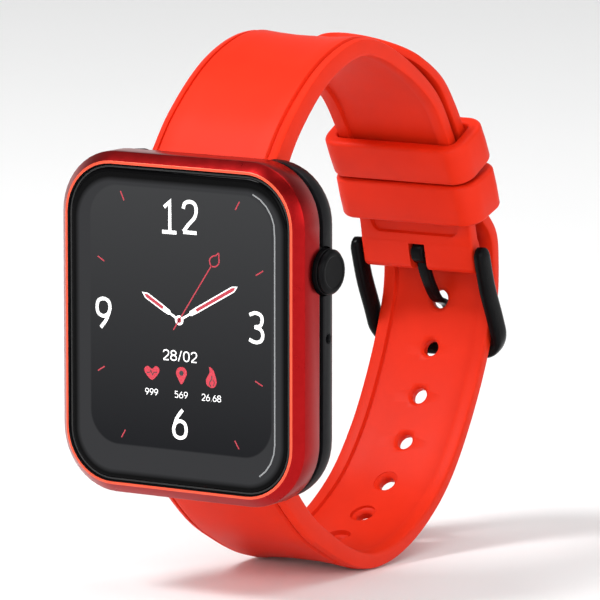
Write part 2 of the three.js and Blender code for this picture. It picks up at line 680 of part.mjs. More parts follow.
function ringX(outerRadius, innerRadius, x0, x1) {
  const shape = circle(outerRadius);
  shape.holes.push(circle(innerRadius));
  return alongX(shape, x0, x1).translate(0, crownBack, CROWN_UP);
}
piece('crown_cap', crownCap(), blackSteel);
piece('crown_stem', rodX(STEM_RADIUS, stemInner, crownInner - TOUCH, crownBack, CROWN_UP, 16), steel);
piece(
  'crown_seal',
  ringX(SEAL_RADIUS - TOUCH, STEM_RADIUS + TOUCH, pocketFloor - SEAL_THICK, pocketFloor - TOUCH),
  sealBlack,
);
piece(
  'crown_clip',
  ringX(CLIP_RADIUS, STEM_RADIUS + TOUCH, clipInner, clipInner + CLIP_THICK),
  steel,
);
const switchAcross = stemInner - CROWN_TRAVEL - CLEARANCE - SWITCH_SIZE[0] / 2;
const switchDepth = crownBack + SWITCH_PAST_AXIS - chipFront;
piece(
  'crown_switch',
  placedBox([switchAcross, CROWN_UP], [SWITCH_SIZE[0], switchDepth, SWITCH_SIZE[1]], chipFront),
  chipBlack,
);

// ---------------------------------------------------------------- strap and its pins
function springBar(direction) {
  const z = direction * lugPinUp;
  const half = LUG_SLOT_WIDTH / 2 - CLEARANCE;
  const tip = LUG_SLOT_WIDTH / 2 + BAR_TIP_LENGTH;
  return join(
    rodX(BAR_RADIUS, -half, half, lugPinBack, z, 16),
    rodX(BAR_TIP_RADIUS, -tip, tip, lugPinBack, z, 12),
  );
}

function strapRoot(direction) {
  const half = STRAP_WIDTH_LUG / 2;
  return rodX(STRAP_THICK_LUG / 2, -half, half, lugPinBack, direction * lugPinUp);
}

function barBore(direction) {
  return rodX(BAR_RADIUS + CLEARANCE / 2, -FAR, FAR, lugPinBack, direction * lugPinUp, 16);
}

function upperStrap() {
  const halfWidth = (share) => strapHalfWidth(share, upperLength);
  const band = solid(strap(upperCentre, UPPER_SIDE, UPPER_STEPS, upperThick, halfWidth));
  const half = halfWidth(1);
  const block = rodX(BLOCK_RADIUS, -half, half, pin.y, pin.z);
  const slotHalf = TANG_WIDTH / 2 + CLEARANCE + TOUCH;
  const slotReach = TANG_EYE + CLEARANCE;
  const whole = band.add(solid(block)).add(solid(strapRoot(1)));
  return cut(
    whole,
    barBore(1),
    rodX(PIN_RADIUS + PIN_PLAY, -FAR, FAR, pin.y, pin.z, 16),
    box(-slotHalf, slotHalf, pin.y - FAR, pin.y + FAR, pin.z - FAR, pin.z + slotReach),
  );
}

// Share of the lower strap's length where the tang goes through.
function tangShare() {
  const target = new THREE.Vector3(0, pin.y + TANG_THROUGH[0], pin.z + TANG_THROUGH[1]);
  const away = (share) => lowerCentre.getPointAt(share).distanceTo(target);
  let best = 0;
  for (let share = 0.4; share < 0.8; share += 0.001) {
    if (away(share) < away(best)) {
      best = share;
    }
  }
  return best;
}
const tangAt = tangShare();

function strapHole(step) {
  const share = tangAt + step * HOLE_PITCH / lowerLength;
  const { point, out } = station(lowerCentre, share, LOWER_SIDE);
  const tool = new THREE.CylinderGeometry(HOLE_RADIUS, HOLE_RADIUS, 8, 16);
  const turn = new THREE.Quaternion().setFromUnitVectors(new THREE.Vector3(0, 1, 0), out);
  return tool.applyQuaternion(turn).translate(0, point.y, point.z);
}

function lowerStrap() {
  const halfWidth = (share) => strapHalfWidth(share, lowerLength) * tipShare(share, lowerLength);
  const band = solid(strap(lowerCentre, LOWER_SIDE, LOWER_STEPS, lowerThick, halfWidth));
  const holes = [];
  for (let step = -HOLES_BELOW; step <= HOLES_ABOVE; step += 1) {
    holes.push(strapHole(step));
  }
  return cut(
    band.add(solid(strapRoot(-1))),
    barBore(-1),
    box(-FAR, FAR, -FAR, FAR, -FAR, tableLevel),
    ...holes,
  );
}

// Lowest point of the lower strap, which becomes the origin of the watch.
const lowest = { y: 0, z: 0 };
for (let share = 0.1; share < 0.5; share += 0.002) {
  const { point, out } = station(lowerCentre, share, LOWER_SIDE);
  const z = point.z + out.z * lowerThick(share) / 2;
  if (z < lowest.z) {
    lowest.z = z;
    lowest.y = point.y + out.y * lowerThick(share) / 2;
  }
}
const tableLevel = lowest.z + TABLE_FLAT;

piece('spring_bar_top', springBar(1), steel);
piece('spring_bar_bottom', springBar(-1), steel);
piece('strap_upper', upperStrap(), redSilicone);
piece('strap_lower', lowerStrap(), redSilicone);

// ---------------------------------------------------------------- keepers
// A rounded sleeve around both strap layers at a share of the upper strap's length.
function keeper(share) {
  const inner = station(upperCentre, share, UPPER_SIDE);
  const content = upperThick(share) + LAYER_GAP + STRAP_THICK_END;
  const open = content + 2 * KEEPER_PLAY;
  const width = STRAP_WIDTH_BUCKLE + 2 * KEEPER_PLAY + 2 * KEEPER_SIDE_PLAY;
  const shape = roundedRectangle(width + 2 * KEEPER_WALL, open + 2 * KEEPER_WALL, KEEPER_CORNER);
  shape.holes.push(roundedRectangle(width, open, KEEPER_CORNER - KEEPER_WALL));
  const sleeve = prism(shape, KEEPER_LENGTH, KEEPER_EDGE, 1).translate(0, 0, -KEEPER_LENGTH / 2);
  const turn = new THREE.Matrix4().makeBasis(
    new THREE.Vector3(1, 0, 0),
    inner.out,
    new THREE.Vector3(1, 0, 0).cross(inner.out),
  );
  const middle = inner.out.clone().multiplyScalar(content / 2 - upperThick(share) / 2);
  const place = inner.point.clone().add(middle);
  return sleeve.applyMatrix4(turn).translate(place.x, place.y, place.z);
}
const [upperKeeperAt, lowerKeeperAt] = KEEPER_FROM_PIN.map((distance) => 1 - distance / upperLength);
piece('keeper_upper', keeper(upperKeeperAt), redSilicone);
piece('keeper_lower', keeper(lowerKeeperAt), redSilicone);

// ---------------------------------------------------------------- buckle
const crossbar = { y: pin.y + CROSSBAR[0], z: pin.z + CROSSBAR[1] };

function offsetBand(points, width) {
  const curve = new THREE.CatmullRomCurve3(points.map(([y, z]) => new THREE.Vector3(0, y, z)));
  const steps = 18;
  const left = [];
  const right = [];
  for (let i = 0; i <= steps; i += 1) {
    const { point, out } = station(curve, i / steps, UPPER_SIDE);
    const half = width(i / steps) / 2;
    left.push(new THREE.Vector2(point.y + out.y * half, point.z + out.z * half));
    right.unshift(new THREE.Vector2(point.y - out.y * half, point.z - out.z * half));
  }
  return new THREE.Shape(left.concat(right));
}

function buckleFrame() {
  const outside = BUCKLE_INSIDE / 2 + BUCKLE_ARM;
  const side = offsetBand([
    [pin.y, pin.z],
    [pin.y + 1.4, pin.z - 4.6],
    [pin.y + 3.1, pin.z - 8.6],
    [crossbar.y, crossbar.z],
  ], () => BUCKLE_BAND);
  const arms = join(
    alongX(side, -outside, outside),
    rodX(BUCKLE_EYE, -outside, outside, pin.y, pin.z),
  );
  const bar = solid(rodX(BUCKLE_BAND / 2, -outside, outside, crossbar.y, crossbar.z));
  const length = Math.hypot(...CROSSBAR);
  const plan = roundedRectangle(2 * outside, 4 * length, BUCKLE_CORNER);
  const between = box(-BUCKLE_INSIDE / 2, BUCKLE_INSIDE / 2, -FAR, 2 * FAR, -FAR, FAR);
  // Local X across, local Y from the crossbar towards the pin.
  const up = new THREE.Vector3(0, -CROSSBAR[0] / length, -CROSSBAR[1] / length);
  const turn = new THREE.Matrix4().makeBasis(
    new THREE.Vector3(1, 0, 0),
    up,
    new THREE.Vector3(1, 0, 0).cross(up),
  );
  const reach = 2 * length - BUCKLE_BAND / 2;
  const planBlock = prism(plan, 40).translate(0, reach, -20).applyMatrix4(turn);
  planBlock.translate(0, crossbar.y, crossbar.z);
  const framed = cut(arms, between).add(bar).intersect(solid(planBlock));
  return cut(framed, rodX(PIN_RADIUS + PIN_PLAY, -FAR, FAR, pin.y, pin.z, 16));
}

function buckleTang() {
  const blade = offsetBand([
    [pin.y + 0.3, pin.z - 0.6],
    [pin.y + 1.0, pin.z - 2.7],
    [pin.y + 2.5, pin.z - 5.2],
    [pin.y + 4.0, pin.z - 6.95],
    [pin.y + 5.2, pin.z - 7.4],
    [pin.y + 6.5, pin.z - 8.0],
    [crossbar.y + TANG_REST, crossbar.z + 4.2],
    [crossbar.y + TANG_REST, crossbar.z + 2.2],
    [crossbar.y + TANG_REST - 0.2, crossbar.z + 0.2],
  ], (share) => blend(1.1 * TANG_THICK, 0.75 * TANG_THICK, share / 0.6));
  const half = TANG_WIDTH / 2;
  return cut(
    join(
      alongX(blade, -half, half, 0.15),
      rodX(TANG_EYE, -half, half, pin.y, pin.z),
    ),
    rodX(PIN_RADIUS + PIN_PLAY, -FAR, FAR, pin.y, pin.z, 16),
  );
}
piece('buckle_frame', buckleFrame(), blackSteel);
piece('buckle_tang', buckleTang(), blackSteel);
const pinHalf = BUCKLE_INSIDE / 2 + BUCKLE_ARM - CLEARANCE;
piece('buckle_pin', rodX(PIN_RADIUS, -pinHalf, pinHalf, pin.y, pin.z, 16), steel);

watch.position.set(0, -lowest.y, -tableLevel);
export default watch;
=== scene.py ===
# A buckled smart sports watch on a pale floor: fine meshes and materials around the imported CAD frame.
import json
import math

import bpy
import bmesh
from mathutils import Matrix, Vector


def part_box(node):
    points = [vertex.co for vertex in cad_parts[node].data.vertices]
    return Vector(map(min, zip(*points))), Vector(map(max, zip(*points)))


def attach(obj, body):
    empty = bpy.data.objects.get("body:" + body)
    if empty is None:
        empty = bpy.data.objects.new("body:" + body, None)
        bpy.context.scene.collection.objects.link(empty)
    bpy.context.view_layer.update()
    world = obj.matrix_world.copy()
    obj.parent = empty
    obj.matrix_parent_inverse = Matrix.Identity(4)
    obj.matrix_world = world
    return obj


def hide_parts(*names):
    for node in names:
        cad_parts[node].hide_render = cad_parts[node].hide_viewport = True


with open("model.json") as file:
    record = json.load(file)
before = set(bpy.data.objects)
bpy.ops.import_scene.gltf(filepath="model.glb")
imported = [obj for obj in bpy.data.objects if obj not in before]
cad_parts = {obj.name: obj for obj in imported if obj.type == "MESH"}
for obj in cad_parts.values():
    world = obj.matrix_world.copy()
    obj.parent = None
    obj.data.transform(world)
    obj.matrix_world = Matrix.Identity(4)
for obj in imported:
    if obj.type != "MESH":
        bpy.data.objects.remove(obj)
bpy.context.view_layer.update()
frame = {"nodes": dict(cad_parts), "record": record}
MM = 0.001

# ---------------- places taken from the frame
bezel_low, bezel_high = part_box("bezel_frame")
shell_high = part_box("back_case")[1]
cover_low, cover_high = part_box("rear_cover")
pin_low, pin_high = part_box("buckle_pin")
bar_low, bar_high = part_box("spring_bar_top")
crown_low, crown_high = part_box("crown_cap")

CASE = Vector((0, bezel_low.y, (bezel_low.z + bezel_high.z) / 2)) / MM  # rim plane, middle of the case
CASE_WIDTH = (bezel_high.x - bezel_low.x) / MM
CASE_HEIGHT = (bezel_high.z - bezel_low.z) / MM
BEZEL_DEPTH = (bezel_high.y - bezel_low.y) / MM
PIN = Vector((0, (pin_low.y + pin_high.y) / 2, (pin_low.z + pin_high.z) / 2)) / MM - CASE
BAR = Vector((0, (bar_low.y + bar_high.y) / 2, (bar_low.z + bar_high.z) / 2)) / MM - CASE
CROWN = Vector((crown_low.x, (crown_low.y + crown_high.y) / 2, (crown_low.z + crown_high.z) / 2)) / MM - CASE
ROOT = "case_and_strap"


def place(x, y, z):
    """A point given in millimetres from the middle of the case rim, in the frame's metres."""
    return (Vector((x, y, z)) + CASE) * MM


# ---------------- camera
CAMERA_DISTANCE = 850
CAMERA_LENS = 391
VIEW_SIDE = math.radians(33.29)
VIEW_RISE = math.radians(8.305)
AIM = (13.06, 9.24, 3.82)


def make_camera():
    camera = bpy.data.objects.new("camera", bpy.data.cameras.new("camera"))
    bpy.context.scene.collection.objects.link(camera)
    out = Vector((
        math.sin(VIEW_SIDE) * math.cos(VIEW_RISE),
        -math.cos(VIEW_SIDE) * math.cos(VIEW_RISE),
        math.sin(VIEW_RISE),
    ))
    camera.location = place(*AIM) + out * CAMERA_DISTANCE * MM
    camera.rotation_euler = (-out).to_track_quat("-Z", "Y").to_euler()
    camera.data.lens = CAMERA_LENS
    camera.data.sensor_width = 36
    camera.data.clip_start = 0.01
    camera.data.clip_end = 50
    bpy.context.scene.camera = camera


make_camera()


# ---------------- materials
COAT_ROUGHNESS = 0.06


def new_material(name, color, roughness, metallic=0.0, coat=0.0, specular=0.5):
    material = bpy.data.materials.new(name)
    material.use_nodes = True
    settings = {
        "Base Color": (*color, 1), "Roughness": roughness, "Metallic": metallic,
        "Specular IOR Level": specular, "Coat Weight": coat, "Coat Roughness": COAT_ROUGHNESS,
    }
    for socket, value in settings.items():
        shader_of(material).inputs[socket].default_value = value
    return material


def add_node(material, kind, **inputs):
    node = material.node_tree.nodes.new(kind)
    for name, value in inputs.items():
        node.inputs[name.replace("_", " ")].default_value = value
    return node


def link(material, source, target):
    material.node_tree.links.new(source, target)


def shader_of(material):
    return material.node_tree.nodes["Principled BSDF"]


def position(material, stretch=(1, 1, 1)):
    """Object position scaled per axis, so that a grain can be drawn out along one axis."""
    place_node = add_node(material, "ShaderNodeTexCoord")
    mapping = add_node(material, "ShaderNodeMapping")
    mapping.inputs["Scale"].default_value = stretch
    link(material, place_node.outputs["Object"], mapping.inputs["Vector"])
    return mapping.outputs["Vector"]


def add_grain(material, scale, height):
    """Fine relief from noise, with its height in metres."""
    noise = add_node(material, "ShaderNodeTexNoise", Scale=scale, Detail=3.0)
    relief = add_node(material, "ShaderNodeBump", Strength=1.0, Distance=height)
    link(material, position(material), noise.inputs["Vector"])
    link(material, noise.outputs["Fac"], relief.inputs["Height"])
    link(material, relief.outputs["Normal"], shader_of(material).inputs["Normal"])


def add_mottle(material, scale, dark, light, rough=None, stretch=(1, 1, 1)):
    """Colour that drifts between two close tones, and roughness with it where rough is given."""
    noise = add_node(material, "ShaderNodeTexNoise", Scale=scale, Detail=4.0)
    ramp = add_node(material, "ShaderNodeValToRGB")
    ramp.color_ramp.elements[0].position = 0.3
    ramp.color_ramp.elements[0].color = (*dark, 1)
    ramp.color_ramp.elements[1].position = 0.7
    ramp.color_ramp.elements[1].color = (*light, 1)
    link(material, position(material, stretch), noise.inputs["Vector"])
    link(material, noise.outputs["Fac"], ramp.inputs["Fac"])
    link(material, ramp.outputs["Color"], shader_of(material).inputs["Base Color"])
    if rough:
        drift = add_node(material, "ShaderNodeMapRange", To_Min=rough[0], To_Max=rough[1])
        link(material, noise.outputs["Fac"], drift.inputs["Value"])
        link(material, drift.outputs["Result"], shader_of(material).inputs["Roughness"])


def silicone():
    material = new_material("red_silicone", (0.69, 0.022, 0.0035), 0.5, specular=0.14)
    add_mottle(material, 220, (0.67, 0.0205, 0.003), (0.71, 0.0235, 0.004), (0.46, 0.56))
    add_grain(material, 9000, 0.000003)
    return material


def anodised():
    material = new_material("red_anodised", (0.34, 0.008, 0.009), 0.28, metallic=1.0)
    add_mottle(material, 900, (0.325, 0.0075, 0.0085), (0.355, 0.009, 0.01), (0.25, 0.33))
    add_grain(material, 14000, 0.0000012)
    return material


def polished_rim():
    material = new_material("rim_polish", (0.82, 0.08, 0.03), 0.32, metallic=0.3)
    add_mottle(material, 900, (0.8, 0.075, 0.028), (0.84, 0.086, 0.034), (0.28, 0.38))
    return material


def gloss_black(name="black_steel", roughness=0.16):
    material = new_material(name, (0.004, 0.004, 0.0045), roughness, specular=0.05)
    add_mottle(material, 700, (0.0035, 0.0035, 0.004), (0.005, 0.005, 0.0055), (roughness, roughness + 0.08))
    return material


def shell_black():
    material = new_material("black_shell", (0.006, 0.006, 0.007), 0.36, specular=0.1)
    add_mottle(material, 1200, (0.005, 0.005, 0.006), (0.008, 0.008, 0.009), (0.3, 0.44))
    add_grain(material, 12000, 0.000003)
    return material


def metal(name, color, roughness, stretch=(1, 1, 1)):
    material = new_material(name, color, roughness, metallic=1.0)
    dark = tuple(0.9 * c for c in color)
    add_mottle(material, 2500, dark, color, (roughness - 0.06, roughness + 0.08), stretch)
    return material


def plain(name, color, roughness):
    material = new_material(name, color, roughness)
    dark = tuple(0.85 * c for c in color)
    add_mottle(material, 1500, dark, color, (roughness - 0.05, roughness + 0.08))
    add_grain(material, 8000, 0.000002)
    return material


MATERIALS = {
    "red_silicone": silicone(),
    "red_anodised": anodised(),
    "black_shell": shell_black(),
    "black_steel": gloss_black(),
    "glass_black": gloss_black("glass_black", 0.04),
    "display": plain("display", (0.05, 0.05, 0.055), 0.3),
    "seal_rubber": plain("seal_rubber", (0.015, 0.015, 0.015), 0.7),
    "plate_metal": metal("plate_metal", (0.6, 0.6, 0.62), 0.35, (1, 1, 12)),
    "board": plain("board", (0.02, 0.12, 0.045), 0.45),
    "chip": plain("chip", (0.03, 0.03, 0.034), 0.5),
    "tinned": metal("tinned", (0.66, 0.66, 0.68), 0.32),
    "battery_foil": plain("battery_foil", (0.42, 0.43, 0.46), 0.35),
    "ceramic": plain("ceramic", (0.62, 0.57, 0.45), 0.6),
    "gold_contact": metal("gold_contact", (0.9, 0.64, 0.26), 0.22),
    "steel": metal("steel", (0.52, 0.53, 0.55), 0.28, (8, 1, 1)),
    "flex": plain("flex", (0.5, 0.2, 0.03), 0.4),
}


def paint_cad_nodes():
    slots = {part["node"]: part["material_slot"] for part in frame["record"]["subparts"]}
    for name, obj in frame["nodes"].items():
        for holder in obj.material_slots:
            holder.material = MATERIALS[slots[name]]


paint_cad_nodes()


# ---------------- mesh helpers
WELD = 1e-7  # metres within which points are one
AXIS_RADIUS = 0.002  # smallest radius of a turned shape, in millimetres


def make_object(name, points, faces, material, body=ROOT, node=None, slot=None, sharp=35):
    """A mesh from points in millimetres around the case rim, smooth but for its sharp edges."""
    mesh = bpy.data.meshes.new(name)
    mesh.from_pydata([place(*point) for point in points], [], faces)
    build = bmesh.new()
    build.from_mesh(mesh)
    bmesh.ops.remove_doubles(build, verts=build.verts, dist=WELD)
    bmesh.ops.recalc_face_normals(build, faces=build.faces)
    build.to_mesh(mesh)
    build.free()
    mesh.materials.append(material)
    obj = bpy.data.objects.new(name, mesh)
    bpy.context.scene.collection.objects.link(obj)
    smooth(obj, sharp)
    if body:
        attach(obj, body)
    if node:
        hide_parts(node)
    return obj


def smooth(obj, sharp=35):
    obj.data.shade_smooth()
    obj.data.set_sharp_from_angle(angle=math.radians(sharp))


def carve(obj, tools, operation="DIFFERENCE", sharp=35):
    """Cut or join closed tool meshes, then leave one plain mesh."""
    for tool in tools:
        change = obj.modifiers.new("carve", "BOOLEAN")
        change.operation = operation
        change.solver = "EXACT"
        change.object = tool
        graph = bpy.context.evaluated_depsgraph_get()
        result = bpy.data.meshes.new_from_object(obj.evaluated_get(graph))
        obj.modifiers.clear()
        obj.data = result
    for tool in tools:
        bpy.data.objects.remove(tool, do_unlink=True)
    smooth(obj, sharp)
    return obj


def rounded_outline(width, height, radius, steps=12):
    """Points of a rounded rectangle, anticlockwise, with the same count whatever its size."""
    points = []
    for sx, sy, turn in ((1, -1, -0.5), (1, 1, 0.0), (-1, 1, 0.5), (-1, -1, 1.0)):
        for i in range(steps + 1):
            angle = (turn + 0.5 * i / steps) * math.pi
            x = sx * (width / 2 - radius) + radius * math.cos(angle)
            y = sy * (height / 2 - radius) + radius * math.sin(angle)
            points.append((x, y))
    return points


def ring_faces(rings, count, closed, capped):
    faces = []
    pairs = rings if closed else rings - 1
    for r in range(pairs):
        a, b = r * count, ((r + 1) % rings) * count
        for i in range(count):
            j = (i + 1) % count
            faces.append((a + i, a + j, b + j, b + i))
    if capped:
        faces.append(tuple(range(count)))
        faces.append(tuple((rings - 1) * count + i for i in range(count)))
    return faces


def loft(name, sections, material, lift=None, closed=False, **facts):
    """Skin over outlines. A section is (outline points, level); lift maps (x, level, z) to a place."""
    points = []
    for outline, level in sections:
        for x, z in outline:
            points.append(lift(x, level, z) if lift else (x, level, z))
    count = len(sections[0][0])
    faces = ring_faces(len(sections), count, closed, not closed)
    return make_object(name, points, faces, material, **facts)


def spin(name, profile, centre, axis, material, steps=48, **facts):
    """A profile of (radius, height) pairs turned about an axis through centre."""
    side = Vector((0, 0, 1)) if abs(axis.z) < 0.9 else Vector((1, 0, 0))
    u = axis.cross(side).normalized()
    v = axis.cross(u)
    points = []
    for radius, height in profile:
        for i in range(steps):
            angle = 2 * math.pi * i / steps
            arm = u * math.cos(angle) + v * math.sin(angle)
            points.append(centre + axis * height + arm * max(radius, AXIS_RADIUS))
    faces = ring_faces(len(profile), steps, False, True)
    return make_object(name, points, faces, material, **facts)


def cutter_box(x, y, z):
    """A plain block used only for cutting; each argument is a (low, high) pair."""
    corners = [(a, b, c) for a in x for b in y for c in z]
    faces = [(0, 1, 3, 2), (4, 6, 7, 5), (0, 4, 5, 1), (2, 3, 7, 6), (0, 2, 6, 4), (1, 5, 7, 3)]
    return make_object("cutter", corners, faces, MATERIALS["chip"], body=None)


def bore_cutter(profile, centre, axis, steps):
    """A turned shape used only for cutting."""
    return spin("cutter", profile, centre, axis, MATERIALS["chip"], steps, body=None)


def cutter_rod(radius, centre, axis, length, steps=32):
    return bore_cutter([(radius, -length / 2), (radius, length / 2)], centre, axis, steps)


def mix(a, b, share):
    return a + (b - a) * min(max(share, 0.0), 1.0)


def ease(share):
    share = min(max(share, 0.0), 1.0)
    return share * share * (3 - 2 * share)


X_AXIS = Vector((1, 0, 0))
Y_AXIS = Vector((0, 1, 0))


# ---------------- case front
RIM_CORNER = 7.2
CHAMFER = 1.25
LIP = 0.55
INSIDE = CHAMFER + LIP  # inset of the frame's inner wall
LIP_FROM, LIP_TO = 1.19, 1.56  # insets between which the lip is polished
GLASS_FACE = 0.1
POCKET_RADIUS = 3.3


def case_outline(inset):
    """The red wall's outline, brought in by an inset; the chamfer takes the first 1.25 mm."""
    width, height = CASE_WIDTH - 2 * inset, CASE_HEIGHT - 2 * inset
    return rounded_outline(width, height, RIM_CORNER + CHAMFER - inset)


def case_sections(profile):
    """The case's outline at each (inset, level) pair."""
    return [(case_outline(inset), level) for inset, level in profile]


def crown_pocket(inner):
    """A cutter for the crown's round pocket, from a place along X outwards."""
    middle = Vector((inner + 10, CROWN.y, CROWN.z))
    return cutter_rod(POCKET_RADIUS, middle, X_AXIS, 20, 64)


def build_bezel():
    back = BEZEL_DEPTH - 0.02
    profile = [
        (INSIDE + 0.95, back), (0.35, back), (0.12, BEZEL_DEPTH - 0.06), (0.0, BEZEL_DEPTH - 0.3),
        (0.0, 1.34), (0.02, 1.27), (0.07, 1.19), (1.17, 0.09), (1.22, 0.04), (1.28, 0.01), (1.48, 0.01),
        (1.54, 0.03), (1.6, 0.12), (INSIDE, 0.5), (INSIDE, 1.9), (INSIDE + 0.95, 1.9),
    ]
    bezel = loft(
        "bezel", case_sections(profile), MATERIALS["red_anodised"], closed=True,
        node="bezel_frame", slot="red_anodised", sharp=28,
    )
    bezel.data.materials.append(POLISHED)
    bezel.data.materials.append(MATERIALS["black_steel"])
    polished, black = 1, 2
    for face in bezel.data.polygons:
        inset, level = rim_inset(face.center / MM - CASE), face.center.y / MM - CASE.y
        if level < 0.25 and inset > LIP_FROM:
            face.material_index = polished if inset < LIP_TO else black
        elif inset > LIP_TO and level < 1.95:
            face.material_index = black
    return carve(bezel, [crown_pocket(17.4)], sharp=28)


def rim_inset(point):
    """How far a point lies inside the outline of the red wall."""
    corner = RIM_CORNER + CHAMFER
    across = max(abs(point.x) - (CASE_WIDTH / 2 - corner), 0.0)
    up = max(abs(point.z) - (CASE_HEIGHT / 2 - corner), 0.0)
    if across == 0.0 or up == 0.0:
        return min(CASE_WIDTH / 2 - abs(point.x), CASE_HEIGHT / 2 - abs(point.z))
    return corner - math.hypot(across, up)


POLISHED = polished_rim()
build_bezel()


def build_gasket():
    near, far = INSIDE + 0.02, INSIDE + 1.0
    loft(
        "glass_seal", case_sections([(near, 0.34), (near, 1.62), (far, 1.62), (far, 0.34)]),
        MATERIALS["seal_rubber"], closed=True, node="glass_gasket", slot="seal_rubber",
    )


build_gasket()


# ---------------- cover glass
GLASS_INSET = INSIDE + 0.18
# Rounded rectangles on the glass, along X and Z from the middle of the case.
PICTURE_MIDDLE = (0.38, 1.18)
PICTURE_HALF = (14.27, 17.17)
PICTURE_CORNER = 4.4
BORDER_MIDDLE = (0.18, -0.31)
BORDER_HALF = (16.1, 19.4)
BORDER_CORNER = 5.6
MIX_FACTOR, MIX_FIRST, MIX_SECOND, MIX_RESULT = 0, 6, 7, 2  # colour sockets of the mix node


def painted_reflection_glass():
    """Black glass with a painted reflection: a grey glow over the display's picture area, lighter towards
    the top, and an even grey band round it, drawn from the distance to rounded rectangles.
    """
    material = new_material("glass_with_painted_reflection", (0.001, 0.001, 0.0012), 0.05, specular=0.05)
    coords = add_node(material, "ShaderNodeTexCoord")
    split = add_node(material, "ShaderNodeSeparateXYZ")
    link(material, coords.outputs["Object"], split.inputs["Vector"])

    def calc(kind, a, b=None):
        node = add_node(material, "ShaderNodeMath")
        node.operation = kind
        for socket, value in zip(node.inputs, (a, b)):
            if value is None:
                continue
            if isinstance(value, (int, float)):
                socket.default_value = value
            else:
                link(material, value, socket)
        return node.outputs["Value"]

    def outside(middle, half, corner):
        """Distance in millimetres outside a rounded rectangle; middle and half run along X and Z."""
        gaps = []
        for axis, origin, centre, reach in zip("XZ", (0.0, CASE.z), middle, half):
            local = calc("MULTIPLY", split.outputs[axis], 1000.0)
            local = calc("ABSOLUTE", calc("SUBTRACT", local, origin + centre))
            gaps.append(calc("MAXIMUM", calc("SUBTRACT", local, reach - corner), 0.0))
        squared = calc("ADD", calc("POWER", gaps[0], 2.0), calc("POWER", gaps[1], 2.0))
        return calc("SUBTRACT", calc("SQRT", squared), corner)

    def inside(distance, soft):
        """One inside an outline, nothing outside it, easing over a soft edge."""
        ramp = add_node(
            material, "ShaderNodeMapRange", From_Min=-soft, From_Max=soft, To_Min=1.0, To_Max=0.0,
        )
        link(material, distance, ramp.inputs["Value"])
        return ramp.outputs["Result"]

    picture = inside(outside(PICTURE_MIDDLE, PICTURE_HALF, PICTURE_CORNER), 0.12)
    border = inside(outside(BORDER_MIDDLE, BORDER_HALF, BORDER_CORNER), 0.35)
    middle = CASE.z + PICTURE_MIDDLE[1]
    height = add_node(
        material, "ShaderNodeMapRange",
        From_Min=(middle - PICTURE_HALF[1]) * MM, From_Max=(middle + PICTURE_HALF[1]) * MM,
    )
    link(material, split.outputs["Z"], height.inputs["Value"])
    # Painted reflection: the picture area glows darker at the bottom and lighter towards the top, and the
    # band between picture and border glows an even grey.
    painted_reflection_tone = add_node(material, "ShaderNodeValToRGB")
    painted_reflection_tone.color_ramp.elements[0].color = (0.011, 0.0115, 0.0135, 1)
    painted_reflection_tone.color_ramp.elements[1].color = (0.05, 0.051, 0.053, 1)
    link(material, height.outputs["Result"], painted_reflection_tone.inputs["Fac"])
    painted_reflection_blend = add_node(material, "ShaderNodeMix")
    painted_reflection_blend.data_type = "RGBA"
    painted_reflection_blend.inputs[MIX_FIRST].default_value = (0.038, 0.0385, 0.041, 1)
    link(material, picture, painted_reflection_blend.inputs[MIX_FACTOR])
    link(material, painted_reflection_tone.outputs["Color"], painted_reflection_blend.inputs[MIX_SECOND])
    link(material, painted_reflection_blend.outputs[MIX_RESULT], shader_of(material).inputs["Emission Color"])
    link(material, border, shader_of(material).inputs["Emission Strength"])
    return material


def build_glass():
    edge = [
        (0.62, 0.0), (0.42, 0.012), (0.26, 0.05), (0.12, 0.14), (0.03, 0.28), (0.0, 0.5), (0.0, 1.48),
    ]
    profile = [(GLASS_INSET + inset, GLASS_FACE + depth) for inset, depth in edge]
    loft(
        "glass_slab", case_sections(profile), painted_reflection_glass(),
        node="cover_glass", slot="glass_black", sharp=50,
    )


build_glass()


# ---------------- dial art on the glass
ART_LEVEL = GLASS_FACE - 0.02


def flat_paint(name, color, glow):
    material = new_material(name, color, 0.35, coat=0.3)
    add_mottle(material, 3000, tuple(0.97 * c for c in color), color)
    shader_of(material).inputs["Emission Color"].default_value = (*color, 1)
    shader_of(material).inputs["Emission Strength"].default_value = glow
    return material


WHITE = flat_paint("dial_white", (0.86, 0.86, 0.86), 0.55)
CRIMSON = flat_paint("dial_crimson", (0.36, 0.014, 0.032), 0.25)
PINK = flat_paint("dial_pink", (0.44, 0.014, 0.034), 0.3)
DIAL_DARK = flat_paint("dial_dark", (0.012, 0.012, 0.014), 0.2)
# Painted glint: a pale glowing grey for the line that stands in for the highlight on the glass edge.
PAINTED_GLINT = flat_paint("painted_glint", (0.2, 0.205, 0.21), 0.2)


def smooth_path(points, steps=6, closed=False):
    """Points along a rounded line through the given (x, z) points."""
    if len(points) < 3:
        return list(points)
    count = len(points)
    result = []
    spans = count if closed else count - 1
    for i in range(spans):
        if closed:
            p = [points[(i + k) % count] for k in (-1, 0, 1, 2)]
        else:
            p = [points[min(max(i + k, 0), count - 1)] for k in (-1, 0, 1, 2)]
        for step in range(steps):
            t = step / steps
            weights = (
                -0.5 * t + t * t - 0.5 * t ** 3, 1 - 2.5 * t * t + 1.5 * t ** 3,
                0.5 * t + 2 * t * t - 1.5 * t ** 3, -0.5 * t * t + 0.5 * t ** 3,
            )
            result.append(tuple(sum(w * q[axis] for w, q in zip(weights, p)) for axis in (0, 1)))
    if not closed:
        result.append(points[-1])
    return result


def circle(x, z, radius, steps):
    angles = [2 * math.pi * i / steps for i in range(steps)]
    return [(x + radius * math.cos(angle), z + radius * math.sin(angle)) for angle in angles]


